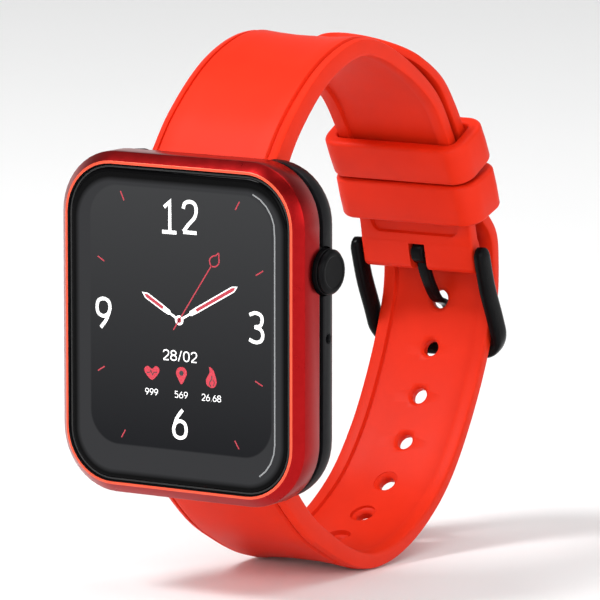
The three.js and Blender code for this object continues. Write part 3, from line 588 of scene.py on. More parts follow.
class Art:
    """Thin raised marks gathered into one mesh."""

    def __init__(self, name, material, level=ART_LEVEL, thick=0.03):
        self.name, self.material, self.level, self.thick = name, material, level, thick
        self.points, self.faces = [], []

    def stroke(self, path, width, closed=False):
        """A ribbon of one width along (x, z) points, with mitred corners."""
        count = len(path)
        start = len(self.points)
        for i, (x, z) in enumerate(path):
            ahead = path[(i + 1) % count] if closed or i < count - 1 else path[i]
            behind = path[i - 1] if closed or i > 0 else path[i]
            a = Vector((x - behind[0], z - behind[1]))
            b = Vector((ahead[0] - x, ahead[1] - z))
            a = a.normalized() if a.length > 1e-9 else b.normalized()
            b = b.normalized() if b.length > 1e-9 else a
            mean = (a + b).normalized()
            normal = Vector((-mean.y, mean.x))
            half = width / 2 / max(normal.dot(Vector((-a.y, a.x))), 0.5)
            for y in (self.level, self.level + self.thick):
                for side in (half, -half):
                    self.points.append((x + normal.x * side, y, z + normal.y * side))
        for i in range(count if closed else count - 1):
            p, q = start + 4 * i, start + 4 * ((i + 1) % count)
            self.faces += [
                (p, q, q + 1, p + 1), (p + 2, p + 3, q + 3, q + 2),
                (p, p + 2, q + 2, q), (p + 1, q + 1, q + 3, p + 3),
            ]
        if not closed:
            first, last = start, start + 4 * (count - 1)
            self.faces.append((first, first + 1, first + 3, first + 2))
            self.faces.append((last, last + 2, last + 3, last + 1))

    def patch(self, outline):
        """A filled shape from a list of (x, z) points."""
        start, count = len(self.points), len(outline)
        for y in (self.level, self.level + self.thick):
            self.points += [(x, y, z) for x, z in outline]
        self.faces.append(tuple(start + i for i in range(count)))
        self.faces.append(tuple(start + count + i for i in reversed(range(count))))
        for i in range(count):
            j = (i + 1) % count
            self.faces.append((start + i, start + j, start + count + j, start + count + i))

    def ring(self, x, z, radius, width, steps=28):
        self.stroke(circle(x, z, radius, steps), width, closed=True)

    def disc(self, x, z, radius, steps=28):
        self.patch(circle(x, z, radius, steps))

    def make(self):
        return make_object(self.name, self.points, self.faces, self.material, slot="display", sharp=20)


def curve(*points):
    """A stroke that is rounded through its points."""
    return points, True


def lines(*points):
    """A stroke with straight pieces between its points."""
    return points, False


# Strokes of each digit inside a box one wide and one high.
DIGITS = {
    "0": [curve(
        (0.5, 1), (0.1, 0.85), (0, 0.5), (0.1, 0.15), (0.5, 0), (0.9, 0.15), (1, 0.5), (0.9, 0.85),
        (0.5, 1),
    )],
    "1": [lines((0.14, 0.8), (0.56, 0.985), (0.56, 0)), lines((0, 0), (1.04, 0))],
    "2": [curve(
        (0.02, 0.76), (0.14, 0.93), (0.5, 1), (0.86, 0.93), (0.98, 0.74), (0.86, 0.5), (0.4, 0.25),
        (0.04, 0.02),
    ), lines((0.02, 0), (1, 0))],
    "3": [
        curve((0.02, 0.92), (0.45, 1), (0.85, 0.93), (0.95, 0.75), (0.8, 0.57), (0.4, 0.52)),
        curve((0.4, 0.52), (0.85, 0.44), (1, 0.25), (0.85, 0.06), (0.45, 0), (0, 0.08)),
    ],
    "5": [
        lines((0.9, 1), (0.15, 1), (0.08, 0.55)),
        curve((0.08, 0.55), (0.5, 0.62), (0.9, 0.5), (0.98, 0.3), (0.85, 0.08), (0.45, 0), (0, 0.08)),
    ],
    "6": [curve((0.72, 1), (0.3, 0.72), (0.06, 0.42), (0, 0.28)), curve(
        (0, 0.28), (0.12, 0.08), (0.5, 0), (0.88, 0.08), (1, 0.3), (0.88, 0.52), (0.5, 0.6),
        (0.14, 0.5), (0, 0.28),
    )],
    "8": [curve(
        (0.5, 0.53), (0.12, 0.64), (0.08, 0.85), (0.5, 1), (0.92, 0.85), (0.88, 0.64), (0.5, 0.53),
        (0.06, 0.4), (0.02, 0.13), (0.5, 0), (0.98, 0.13), (0.94, 0.4), (0.5, 0.53),
    )],
    "9": [curve((0.28, 0), (0.7, 0.28), (0.94, 0.58), (1, 0.72)), curve(
        (1, 0.72), (0.88, 0.92), (0.5, 1), (0.12, 0.92), (0, 0.7), (0.12, 0.48), (0.5, 0.4),
        (0.86, 0.5), (1, 0.72),
    )],
    "/": [lines((0.1, -0.05), (0.9, 1.05))],
    ".": [lines((0.4, 0), (0.6, 0))],
}
POINT_SHARE = 0.3  # a point's width beside a digit's


def write_digits(art, text, left, low, width, height, gap, stroke):
    x = left
    for mark in text:
        wide = width * (POINT_SHARE if mark == "." else 1)
        for path, rounded in DIGITS[mark]:
            shape = [(x + px * wide, low + pz * height) for px, pz in path]
            art.stroke(smooth_path(shape) if rounded else shape, stroke)
        x += wide + gap


# Text, its left and low edges, a digit's width and height, the gap between digits and the stroke.
NUMERALS = (
    ("1", -2.42, 12.72, 2.15, 4.05, 0, 0.48),
    ("2", 0.86, 12.9, 2.12, 4.05, 0, 0.48),
    ("3", 11.2, -0.68, 2.12, 3.85, 0, 0.46),
    ("9", -12.85, -0.7, 2.1, 3.85, 0, 0.46),
    ("6", -0.72, -14.32, 2.0, 3.75, 0, 0.46),
    ("28", -2.3, -4.12, 0.85, 1.28, 0.34, 0.16),
    ("/", 0.02, -4.12, 0.6, 1.28, 0, 0.14),
    ("02", 0.92, -4.12, 0.85, 1.28, 0.34, 0.16),
    ("999", -5.15, -9.0, 0.5, 0.82, 0.22, 0.095),
    ("569", -0.5, -9.0, 0.52, 0.82, 0.22, 0.095),
    ("26.68", 3.78, -9.0, 0.5, 0.82, 0.2, 0.095),
)
HUB = (0.23, 1.23)


def build_numerals():
    art = Art("dial_numerals", WHITE)
    for row in NUMERALS:
        write_digits(art, *row)
    art.make()


build_numerals()


def draw_hand(white, inlay, tip, neck, start):
    """An outlined hand with a coloured inlay; neck and start are distances from the hub."""
    along = Vector((tip[0] - HUB[0], tip[1] - HUB[1]))
    length = along.length
    along.normalize()
    across = Vector((-along.y, along.x))

    def at(distance, side):
        x = HUB[0] + along.x * distance + across.x * side
        z = HUB[1] + along.y * distance + across.y * side
        return (x, z)

    white.patch([
        at(neck, 0.2), at(neck + 0.2, 0.33), at(start, 0.38), at(length - 0.85, 0.4), at(length, 0),
        at(length - 0.85, -0.4), at(start, -0.38), at(neck + 0.2, -0.33), at(neck, -0.2),
    ])
    inlay.patch([
        at(start, 0.22), at(length - 0.9, 0.24), at(length - 0.42, 0), at(length - 0.9, -0.24),
        at(start, -0.22),
    ])
    white.stroke([at(0.55, 0), at(neck, 0)], 0.3)


def build_hands():
    white = Art("hand_outlines", WHITE, ART_LEVEL - 0.012)
    inlay = Art("hand_inlays", CRIMSON, ART_LEVEL - 0.022)
    draw_hand(white, inlay, (-5.66, 4.53), 1.65, 2.9)
    draw_hand(white, inlay, (9.43, 6.38), 1.9, 3.1)
    white.ring(*HUB, 0.5, 0.3)
    white.make()
    inlay.make()

    sweep_hand = Art("sweep_hand", CRIMSON, ART_LEVEL - 0.03)
    sweep_hand.stroke([(-0.67, -0.08), (5.35, 8.85)], 0.17)
    drop = smooth_path([
        (5.45, 8.72), (5.1, 9.1), (5.08, 9.65), (5.5, 10.05), (6.0, 10.2), (6.45, 10.5), (6.5, 9.95),
        (6.5, 9.3), (6.1, 8.8),
    ], 5, True)
    sweep_hand.stroke(drop, 0.18, closed=True)
    sweep_hand.disc(*HUB, 0.3)
    sweep_hand.make()


build_hands()


def build_ticks():
    art = Art("dial_ticks", CRIMSON)
    for a, b in (
        ((-9.04, 17.59), (-8.46, 16.38)), ((9.71, 17.5), (9.05, 16.38)),
        ((-12.7, 8.72), (-11.65, 8.12)), ((12.24, 8.07), (13.38, 8.74)),
        ((-12.75, -6.49), (-11.67, -5.86)), ((12.12, -5.77), (13.29, -6.33)),
        ((-9.01, -15.07), (-8.39, -14.01)), ((8.92, -13.91), (9.58, -14.93)),
    ):
        art.stroke([a, b], 0.17)
    art.make()


build_ticks()


def build_icons():
    art = Art("dial_icons", PINK)
    marks = Art("dial_icon_marks", DIAL_DARK, ART_LEVEL - 0.012)
    art.patch(smooth_path([
        (-4.12, -7.0), (-5.15, -6.15), (-5.3, -5.55), (-4.75, -5.2), (-4.12, -5.55), (-3.5, -5.12),
        (-2.95, -5.45), (-3.1, -6.1),
    ], 4, True))
    pulse = [(-4.95, -6.05), (-4.5, -6.05), (-4.3, -5.75), (-4.0, -6.35), (-3.8, -5.95), (-3.3, -5.95)]
    marks.stroke(pulse, 0.11)
    art.patch(smooth_path([
        (0.56, -7.2), (-0.05, -6.35), (-0.3, -5.7), (-0.02, -5.12), (0.56, -4.9), (1.14, -5.08),
        (1.42, -5.65), (1.17, -6.3),
    ], 4, True))
    marks.disc(0.56, -5.72, 0.34, 20)
    art.patch(smooth_path([
        (5.25, -7.25), (4.6, -6.95), (4.42, -6.3), (4.72, -5.7), (5.0, -5.2), (4.95, -4.5),
        (5.6, -4.95), (5.95, -5.8), (6.1, -6.5), (5.8, -7.1),
    ], 4, True))
    marks.stroke(smooth_path([(5.2, -7.1), (4.98, -6.6), (5.35, -6.1), (5.3, -5.7)], 4), 0.13)
    marks.stroke(smooth_path([(5.62, -6.95), (5.72, -6.5), (5.5, -6.2)], 4), 0.11)
    art.make()
    marks.make()


build_icons()


def build_painted_glint():
    """A painted glint: a thin pale glowing line for the highlight on the display's edge on the crown side.
    """
    right, top, low, corner = 15.15, 18.9, -19.1, 5.2
    path = [
        (right - corner + corner * math.sin(t), top - corner + corner * math.cos(t))
        for t in (0.35, 0.6, 0.85, 1.1, 1.35)
    ]
    path += [(right, top - corner - 0.6), (right, 0.0), (right, low + corner)]
    path += [
        (right - corner + corner * math.cos(t), low + corner - corner * math.sin(t))
        for t in (0.25, 0.5, 0.75, 1.0)
    ]
    line = Art("painted_glint_line", PAINTED_GLINT, GLASS_FACE - 0.005, 0.02)
    line.stroke(path, 0.2)
    line.make()


build_painted_glint()


# ---------------- lower shell
SEAM_BACK = 6.05
SHELL_BACK = (shell_high.y / MM) - CASE.y
SLOT_FLOOR = BAR.z - 2.2
SLOT_HALF = 10.3
SHELL_ROUND = 3.0
SHELL_INSET = 0.3
ROOM_BACK, ROOM_HALF = 8.4, 15.6  # the room inside the case
MICROPHONE_HOLE = Vector((18.72, 7.4, -0.6))


def build_shell():
    profile = [
        (0.85, BEZEL_DEPTH + 0.12), (0.85, SEAM_BACK - 0.02), (0.55, SEAM_BACK),
        (0.36, SEAM_BACK + 0.05), (SHELL_INSET, SEAM_BACK + 0.2),
    ]
    for i in range(11):
        turn = i / 10 * math.pi / 2
        inset = SHELL_INSET + SHELL_ROUND * (1 - math.cos(turn))
        profile.append((inset, SHELL_BACK + SHELL_ROUND * (math.sin(turn) - 1)))
    profile.append((3.7, SHELL_BACK))
    shell = loft(
        "lower_shell", case_sections(profile), MATERIALS["black_shell"],
        node="back_case", slot="black_shell", sharp=40,
    )
    microphone = [(0.5, -1.8), (0.5, -0.25), (0.75, 0.05), (0.75, 1.0)]
    tools = [
        cutter_box((-SLOT_HALF, SLOT_HALF), (SEAM_BACK, 30), (SLOT_FLOOR, 40)),
        cutter_box((-SLOT_HALF, SLOT_HALF), (SEAM_BACK, 30), (-40, -SLOT_FLOOR)),
        cutter_box((-17.2, 15.9), (0, ROOM_BACK), (-ROOM_HALF, ROOM_HALF)),
        cutter_box((12.0, 16.9), (0, ROOM_BACK), (-ROOM_HALF, -2.4)),
        crown_pocket(17.75),
        bore_cutter(microphone, MICROPHONE_HOLE, X_AXIS, 24),
    ]
    for wide, high, corner, floor in ((30.6, 31.3, 5.0, 9.9), (27.9, 28.6, 3.8, 8.0)):
        opening = rounded_outline(wide, high, corner)
        tools.append(loft("cutter", [(opening, floor), (opening, 14)], MATERIALS["chip"], body=None))
    carve(shell, tools, sharp=40)


build_shell()

COVER_BACK = (cover_high.y / MM) - CASE.y
COVER_HALF = ((cover_high.x - cover_low.x) / MM / 2, (cover_high.z - cover_low.z) / MM / 2)


COVER_CORNER = 5.0
SCREW_INSET = 2.4


def on_cover(x, z):
    return Vector((x, COVER_BACK, z))


SCREWS = [
    on_cover(sx * (COVER_HALF[0] - SCREW_INSET), sz * (COVER_HALF[1] - SCREW_INSET))
    for sx, sz in ((1, 1), (-1, 1), (-1, -1), (1, -1))
]
CONTACTS = [on_cover(x, -9) for x in (-2, 2)]


def build_cover():
    wide, high = 2 * COVER_HALF[0], 2 * COVER_HALF[1]
    edge = [(0.0, 0.95), (0.0, 0.3), (0.04, 0.17), (0.13, 0.06), (0.3, 0.0), (1.3, 0.0)]
    sections = [
        (rounded_outline(wide - 2 * inset, high - 2 * inset, COVER_CORNER - inset), COVER_BACK - depth)
        for inset, depth in edge
    ]
    cover = loft(
        "rear_plate", sections, MATERIALS["black_shell"],
        node="rear_cover", slot="black_shell", sharp=40,
    )
    window = [(6.05, -3), (6.05, -0.25), (6.35, 0.02), (6.35, 1)]
    seat = [(0.8, -3), (0.8, -0.5), (1.25, -0.5), (1.25, -0.1), (1.4, 0.05), (1.4, 1)]
    contact = [(1.15, -3), (1.15, -0.15), (1.3, 0.02), (1.3, 1)]
    tools = [bore_cutter(window, on_cover(0, 0), Y_AXIS, 64)]
    tools += [bore_cutter(seat, centre, Y_AXIS, 32) for centre in SCREWS]
    tools += [bore_cutter(contact, centre, Y_AXIS, 32) for centre in CONTACTS]
    carve(cover, tools, sharp=40)


build_cover()


def build_rear_details():
    lens = [(0, -0.8), (6.0, -0.8), (6.0, -0.14), (5.9, -0.04), (5.5, 0.02), (3, 0.045), (0, 0.05)]
    spin(
        "sensor_lens", lens, on_cover(0, 0), Y_AXIS, MATERIALS["glass_black"], 96,
        node="sensor_window", slot="glass_black",
    )
    eye = Art("sensor_eyes", plain("sensor_green", (0.02, 0.2, 0.07), 0.25), COVER_BACK + 0.03, 0.03)
    for i in range(3):
        angle = math.pi / 2 + i * 2 * math.pi / 3
        eye.disc(2.9 * math.cos(angle), 2.9 * math.sin(angle), 0.75)
    eye.ring(0, 0, 4.7, 0.12, 48)
    eye.make()
    head = [(0, -2.8), (0.62, -2.8), (0.65, -0.5), (1.08, -0.45), (1.08, -0.12), (1.0, -0.06), (0, -0.05)]
    for index, centre in enumerate(SCREWS):
        screw = spin(
            f"screw_{index + 1}", head, centre, Y_AXIS, MATERIALS["steel"], 32,
            node=f"rear_screw_{index + 1}", slot="steel",
        )
        carve(screw, [cutter_rod(0.5, centre, Y_AXIS, 0.6, 6)])
    pad = [(0, -1.0), (1.1, -1.0), (1.1, -0.03), (1.03, 0.03), (0.9, 0.05), (0.3, 0.03), (0, 0.03)]
    for index, centre in enumerate(CONTACTS):
        spin(
            f"contact_pad_{index + 1}", pad, centre, Y_AXIS, MATERIALS["gold_contact"], 32,
            node=f"charge_contact_{index + 1}", slot="gold_contact",
        )


build_rear_details()


# ---------------- crown
def build_crown():
    base = Vector((CROWN.x, CROWN.y, CROWN.z))
    profile = [
        (0, 0), (2.98, 0), (3.0, 0.06), (3.0, 0.82), (2.94, 0.9), (2.72, 0.92), (2.7, 0.98), (2.72, 1.04),
        (2.92, 1.08), (2.96, 1.14), (2.96, 1.3), (2.92, 1.36), (2.62, 1.66), (2.56, 1.69), (2.2, 1.7),
        (2.12, 1.68), (2.04, 1.63), (1.0, 1.61), (0, 1.61),
    ]
    spin(
        "crown_button", profile, base, X_AXIS, gloss_black("crown_satin", 0.26), 96, body="crown",
        node="crown_cap", slot="black_steel", sharp=26,
    )


build_crown()


# ---------------- strap lines
class Line:
    """A centripetal spline through (y, z) points, read by distance along it."""

    SAMPLES = 900

    def __init__(self, points, side):
        self.side = side
        self.knots = [Vector((0, y, z)) for y, z in points]
        self.places = [self.at(i / self.SAMPLES) for i in range(self.SAMPLES + 1)]
        self.run = [0.0]
        for a, b in zip(self.places, self.places[1:]):
            self.run.append(self.run[-1] + (b - a).length)
        self.length = self.run[-1]

    def at(self, share):
        last = len(self.knots) - 1
        span = min(int(share * last), last - 1)
        t = share * last - span
        p1, p2 = self.knots[span], self.knots[span + 1]
        p0 = self.knots[span - 1] if span > 0 else 2 * p1 - p2
        p3 = self.knots[span + 2] if span + 2 <= last else 2 * p2 - p1
        d0, d1, d2 = (math.sqrt((b - a).length) for a, b in ((p0, p1), (p1, p2), (p2, p3)))
        start = ((p1 - p0) / d0 - (p2 - p0) / (d0 + d1) + (p2 - p1) / d1) * d1
        end = ((p2 - p1) / d1 - (p3 - p1) / (d1 + d2) + (p3 - p2) / d2) * d1
        return (
            p1 + start * t + (3 * (p2 - p1) - 2 * start - end) * t * t
            + (2 * (p1 - p2) + start + end) * t ** 3
        )

    def station(self, share):
        """Point, direction and the normal that points out of the loop."""
        want = min(max(share, 0.0), 1.0) * self.length
        low, high = 0, self.SAMPLES
        while high - low > 1:
            middle = (low + high) // 2
            if self.run[middle] <= want:
                low = middle
            else:
                high = middle
        part = (want - self.run[low]) / (self.run[high] - self.run[low])
        point = self.places[low].lerp(self.places[high], part)
        before = self.places[max(low - 1, 0)]
        after = self.places[min(high + 1, self.SAMPLES)]
        along = (after - before).normalized()
        return point, along, Vector((0, -self.side * along.z, self.side * along.y))


LOOP_DEPTH = 57.0
LOOP_TOP = 34.65
LOOP_BOTTOM = 35.1
ARC_RADIUS = 48
ARC_LEAN = math.radians(10)
THICK_LUG, THICK_MIDDLE, THICK_END, THICK_TIP = 3.8, 2.6, 2.1, 1.2
LAYER_GAP = 0.6
TIP_LENGTH = 9.0
STRAP_WIDE, STRAP_NARROW = 19.8, 18.0
TAPER_LENGTH = 60
CROSSBAR = Vector((0, PIN.y + 5.2, PIN.z - 13.9))


def depth_at(share):
    return BAR.y + share * LOOP_DEPTH


def keeper_arc(distance):
    middle_y = PIN.y - ARC_RADIUS * math.cos(ARC_LEAN)
    middle_z = PIN.z - ARC_RADIUS * math.sin(ARC_LEAN)
    angle = ARC_LEAN + distance / ARC_RADIUS
    return (middle_y + ARC_RADIUS * math.cos(angle), middle_z + ARC_RADIUS * math.sin(angle))


def upper_thick(share):
    if share < 0.45:
        return mix(THICK_LUG, THICK_MIDDLE, share / 0.45)
    return mix(THICK_MIDDLE, THICK_END, (share - 0.45) / 0.3)


def lower_thick(share):
    if share < 0.2:
        return mix(THICK_LUG, THICK_MIDDLE, share / 0.2)
    if share < 0.4:
        return mix(THICK_MIDDLE, THICK_END, (share - 0.2) / 0.2)
    return mix(THICK_END, THICK_TIP, (share - 0.86) / 0.14)


UPPER = Line([
    (BAR.y, BAR.z), (depth_at(0.09), 0.745 * LOOP_TOP), (depth_at(0.24), 0.93 * LOOP_TOP),
    (depth_at(0.402), LOOP_TOP), (depth_at(0.567), 0.917 * LOOP_TOP),
] + [keeper_arc(distance) for distance in (26, 19.5, 13, 6.5, 0)], 1)


def outer_layer(share, thick):
    point, along, out = UPPER.station(share)
    away = upper_thick(share) / 2 + LAYER_GAP + thick / 2
    return (point.y + out.y * away, point.z + out.z * away)


# The lower band's sag: shares of the loop's depth and of its drop.
SAG = (
    (0.15, 0.786), (0.245, 0.883), (0.338, 0.957), (0.425, 0.995), (0.505, 0.992), (0.595, 0.952),
    (0.68, 0.883), (0.765, 0.778), (0.842, 0.627), (0.913, 0.433),
)
PAST_PIN = ((3.7, -11.1), (5.1, -6.2), (5.3, -1.3), (4.7, 2.7))  # Y and Z from the pin
LOWER = Line([(BAR.y, -BAR.z)]
  + [(depth_at(share), -drop * LOOP_BOTTOM) for share, drop in SAG]
  + [(PIN.y + y, PIN.z + z) for y, z in PAST_PIN]
  + [outer_layer(share, THICK_END) for share in (0.915, 0.87, 0.82, 0.77, 0.71, 0.65)]
  + [outer_layer(share, THICK_TIP) for share in (0.57, 0.49)], -1)

HOLE_POINT = Vector((0, PIN.y + 5.0, PIN.z - 7.2))
NEAREST = min(range(Line.SAMPLES + 1), key=lambda i: (LOWER.places[i] - HOLE_POINT).length)
TANG_AT = LOWER.run[NEAREST] / LOWER.length
HOLE_PITCH = 7.0


def half_width(share, length):
    return mix(STRAP_WIDE, STRAP_NARROW, share * length / TAPER_LENGTH) / 2


def tip_share(share):
    into = min(max(1 - (1 - share) * LOWER.length / TIP_LENGTH, 0.0), 0.995)
    return math.sqrt(1 - into * into)


# ---------------- straps
CHANNEL_RIM, CHANNEL_DEPTH = 1.9, 0.55
CHANNEL_END = 2.9
CHANNEL_CORNER = 1.7
GROOVE_DEPTH = 0.38
BAR_BORE, PIN_BORE = 0.9, 0.85
HOLES = range(-6, 4)  # counted along the band from the hole that holds the tang
HOLE_BORE, TANG_BORE = 1.12, 1.3


def bump(value, middle, reach):
    """One at the middle, easing to nothing at the reach on either side."""
    return ease(1 - abs(value - middle) / reach)


def strap_section(half, thick, channel, groove, flare, rim=CHANNEL_RIM):
    """Outline of the band: (across, lift) anticlockwise, lift growing out of the loop.

    channel is the depth of the wide recess inside and rim its distance from the edge, groove the
    depth of the step along each outer edge, and flare (edge, middle) how far those lift.
    """
    h = thick / 2
    reach = half - rim
    right = [
        (half - 0.4, -h), (half - 0.14, -h + 0.08), (half - 0.03, -h + 0.24), (half, -h + 0.45),
        (half, h - 0.62 - 0.2 * groove), (half - 0.07, h - 0.4 - 0.4 * groove),
        (half - 0.26, h - 0.2 - 0.6 * groove), (half - 0.8, h - 0.55 * groove),
        (half - 0.98, h - 0.7 * groove), (half - 1.06, h - 1.4 * groove),
        (half - 1.32, h - 1.4 * groove), (half - 1.42, h - 0.7 * groove),
        (half - 1.56, h - 0.12 * groove), (half - 1.75, h), (half * 0.6, h), (half * 0.3, h),
    ]
    left = [(-x, z) for x, z in reversed(right)]
    inside = [
        (-reach - 0.08, -h), (-reach, -h + 0.05 * channel), (-reach + 0.16, -h + 0.95 * channel),
        (-reach + 0.26, -h + channel), (-reach * 0.6, -h + channel), (-reach * 0.2, -h + channel),
        (reach * 0.2, -h + channel), (reach * 0.6, -h + channel), (reach - 0.26, -h + channel),
        (reach - 0.16, -h + 0.95 * channel), (reach, -h + 0.05 * channel), (reach + 0.08, -h),
    ]
    outline = right + left + inside
    edge, middle = flare
    return [(x, z + middle + (edge - middle) * (abs(x) / half) ** 2) for x, z in outline]


def sweep(name, line, shares, section, material, floor=None, **facts):
    """Skin a section along a strap line; section(share) gives (across, lift) points."""
    points = []
    for share in shares:
        middle, along, out = line.station(share)
        for x, lift in section(share):
            spot = middle + out * lift
            z = spot.z if floor is None else max(spot.z, floor)
            points.append((-line.side * x, spot.y, z))
    count = len(section(shares[0]))
    faces = ring_faces(len(shares), count, False, True)
    return make_object(name, points, faces, material, **facts)


def spread(count, start=0.0, end=1.0):
    return [start + (end - start) * i / count for i in range(count + 1)]


def merged(parts, name="cutter"):
    """One object made of several closed meshes that don't touch."""
    build = bmesh.new()
    for part in parts:
        build.from_mesh(part.data)
        bpy.data.objects.remove(part, do_unlink=True)
    mesh = bpy.data.meshes.new(name)
    build.to_mesh(mesh)
    build.free()
    mesh.materials.append(MATERIALS["red_silicone"])
    obj = bpy.data.objects.new(name, mesh)
    bpy.context.scene.collection.objects.link(obj)
    return obj


def rounded_rod(radius, half, centre, round_off, steps=40):
    """A rod along X with softened rims."""
    profile = [(0, -half), (radius - round_off, -half)]
    for i in range(1, 5):
        turn = i / 4 * math.pi / 2
        profile.append((radius - round_off * (1 - math.sin(turn)), -half + round_off * (1 - math.cos(turn))))
    profile += [(r, -h) for r, h in reversed(profile)]
    return spin("rod", profile, centre, X_AXIS, MATERIALS["red_silicone"], steps, body=None)


BLOCK_RADIUS = 1.15
BLOCK_TAIL = 1.3


def end_block(half):
    """The plain block round the buckle's pin, with softened side edges."""
    _, along, out = UPPER.station(1)
    soft, back = 0.4, 1.6
    arc = [(math.sin(a / 12 * math.pi), math.cos(a / 12 * math.pi)) for a in range(13)]
    sections = []
    for side, order in ((-1, range(7)), (1, range(6, -1, -1))):
        for i in order:
            turn = i / 6 * math.pi / 2
            r = BLOCK_RADIUS - soft * (1 - math.sin(turn))
            outline = [(BLOCK_TAIL + r * bulge, r * rise) for bulge, rise in arc]
            outline += [(-back - r * bulge, -r * rise) for bulge, rise in arc]
            sections.append((outline, side * (half - soft * (1 - math.cos(turn)))))

    def lift(u, level, v):
        return (level, PIN.y + along.y * u + out.y * v, PIN.z + along.z * u + out.z * v)

    return loft("end_block", sections, MATERIALS["red_silicone"], lift, body=None)


def build_upper_strap():
    def section(share):
        half = half_width(share, UPPER.length)
        from_pin = (1 - share) * UPPER.length
        thick = mix(upper_thick(share), 2 * BLOCK_RADIUS, ease((3.1 - from_pin) / 1.8))
        into = from_pin - CHANNEL_END
        corner = CHANNEL_CORNER - min(max(into, 0.0), CHANNEL_CORNER)
        rim = CHANNEL_RIM + CHANNEL_CORNER - math.sqrt(CHANNEL_CORNER ** 2 - corner ** 2)
        channel = CHANNEL_DEPTH * ease((share - 0.08) / 0.04) * ease(into / 0.35)
        groove = GROOVE_DEPTH * ease((share - 0.01) / 0.03) * ease((0.95 - share) / 0.03)
        arch = bump(share, 0.3, 0.3)
        return strap_section(half, thick, channel, groove, (0.45 * arch, -0.4 * arch), rim)

    shares = spread(100, 0.0, 0.9) + spread(30, 0.9, 0.995)[1:]
    strap = sweep(
        "upper_band", UPPER, shares, section, MATERIALS["red_silicone"],
        node="strap_upper", slot="red_silicone", sharp=32,
    )
    carve(strap, [end_block(half_width(1, UPPER.length))], "UNION", 32)
    carve(strap, [rounded_rod(THICK_LUG / 2, STRAP_WIDE / 2, BAR, 0.4)], "UNION", 32)
    carve(strap, [
        cutter_rod(BAR_BORE, BAR, X_AXIS, 60),
        cutter_rod(PIN_BORE, PIN, X_AXIS, 60),
        cutter_box((-1.3, 1.3), (PIN.y - 3, PIN.y + 3), (PIN.z - 5, PIN.z + 1.3)),
    ], sharp=32)


build_upper_strap()


def hole_cutter(step):
    share = TANG_AT + step * HOLE_PITCH / LOWER.length
    middle, along, out = LOWER.station(share)
    h = lower_thick(share) / 2
    bore = TANG_BORE if step == 0 else HOLE_BORE
    floor = 0.5 - h
    profile = [
        (bore + 0.8, -h - 0.6), (bore + 0.62, floor), (bore + 0.4, floor + 0.1),
        (bore + 0.16, floor + 0.25), (bore, floor + 0.5),
        (bore, h - 0.3), (bore + 0.06, h - 0.14), (bore + 0.2, h - 0.02), (bore + 0.3, h + 0.6),
    ]
    return bore_cutter(profile, middle, out, 40)


def build_lower_strap():
    def section(share):
        half = half_width(share, LOWER.length)
        thick = lower_thick(share)
        near_tip = ease((0.955 - share) / 0.02)
        channel = CHANNEL_DEPTH * ease((share - 0.06) / 0.03) * near_tip
        groove = GROOVE_DEPTH * ease((share - 0.01) / 0.02) * near_tip * min(thick / THICK_END, 1)
        arch = bump(share, 0.25, 0.2)
        outline = strap_section(half, thick, channel, groove, (0.1 * arch, -0.75 * arch))
        return [(x * tip_share(share), z) for x, z in outline]

    shares = spread(150, 0.0, 0.92)
    shares += [1 - (1 - i / 24) ** 1.7 * 0.08 for i in range(1, 24)] + [0.99995]
    strap = sweep(
        "lower_band", LOWER, shares, section, MATERIALS["red_silicone"], floor=-CASE.z,
        node="strap_lower", slot="red_silicone", sharp=32,
    )
    low_bar = Vector((0, BAR.y, -BAR.z))
    carve(strap, [rounded_rod(THICK_LUG / 2, STRAP_WIDE / 2, low_bar, 0.4)], "UNION", 32)
    carve(strap, [
        cutter_rod(BAR_BORE, low_bar, X_AXIS, 60),
        merged([hole_cutter(step) for step in HOLES]),
    ], sharp=32)


build_lower_strap()


# ---------------- keepers
KEEPER_ROOM = 1.1  # how much wider the opening is than the band
KEEPER_SLACK = 0.5  # how much higher it is than the two layers
KEEPER_CORNER = 1.1
KEEPER_WALL = 1.85
KEEPER_ROUND = 0.7


def build_keeper(name, from_pin, half, body, node):
    """A loop round both layers, at a distance along the band from the pin; half is half its length."""
    share = 1 - from_pin / UPPER.length
    middle, along, out = UPPER.station(share)
    content = upper_thick(share) + LAYER_GAP + THICK_END
    centre = middle + out * (content / 2 - upper_thick(share) / 2)
    rings = []
    for i in range(13):
        turn = math.pi * i / 12
        lean = abs(math.cos(turn))
        edge = half - KEEPER_ROUND * (1 - lean)
        level = math.copysign(edge, -math.cos(turn)) if lean > 1e-6 else 0.0
        grow = KEEPER_WALL - KEEPER_ROUND * (1 - math.sin(turn)) - 0.05 * (level / half) ** 2
        rings.append((level, grow))
    mouth = [(half, 0.3), (half - 0.12, 0.08), (half - 0.35, 0.0)]
    rings += mouth + [(-level, grow) for level, grow in reversed(mouth)]
    wide, high = STRAP_NARROW + KEEPER_ROOM, content + KEEPER_SLACK
    sections = [
        (rounded_outline(wide + 2 * grow, high + 2 * grow, KEEPER_CORNER + grow), level)
        for level, grow in rings
    ]

    def lift(x, level, z):
        spot = centre + along * level + out * z
        return (x, spot.y, spot.z)

    loft(
        name, sections, MATERIALS["red_silicone"], lift, closed=True, body=body, node=node,
        slot="red_silicone", sharp=50,
    )


build_keeper("keeper_band_upper", 15.2, 2.9, "keeper_upper_body", "keeper_upper")
build_keeper("keeper_band_lower", 8.62, 3.05, "keeper_lower_body", "keeper_lower")


# ---------------- buckle
ARM_PLACE = 10.03
ARM_HALF = 0.78
ARM_DEEP = 1.4
BAR_HALF = 0.95
BUCKLE_CORNER = 3.4
BUCKLE_STEPS = 20
PIN_HALF = 10.3
SIDE = Line([
    (CROSSBAR.y, CROSSBAR.z), (PIN.y + 3.1, PIN.z - 8.6), (PIN.y + 1.4, PIN.z - 4.6), (PIN.y, PIN.z),
], 1)
ARM_TOP = 1.5


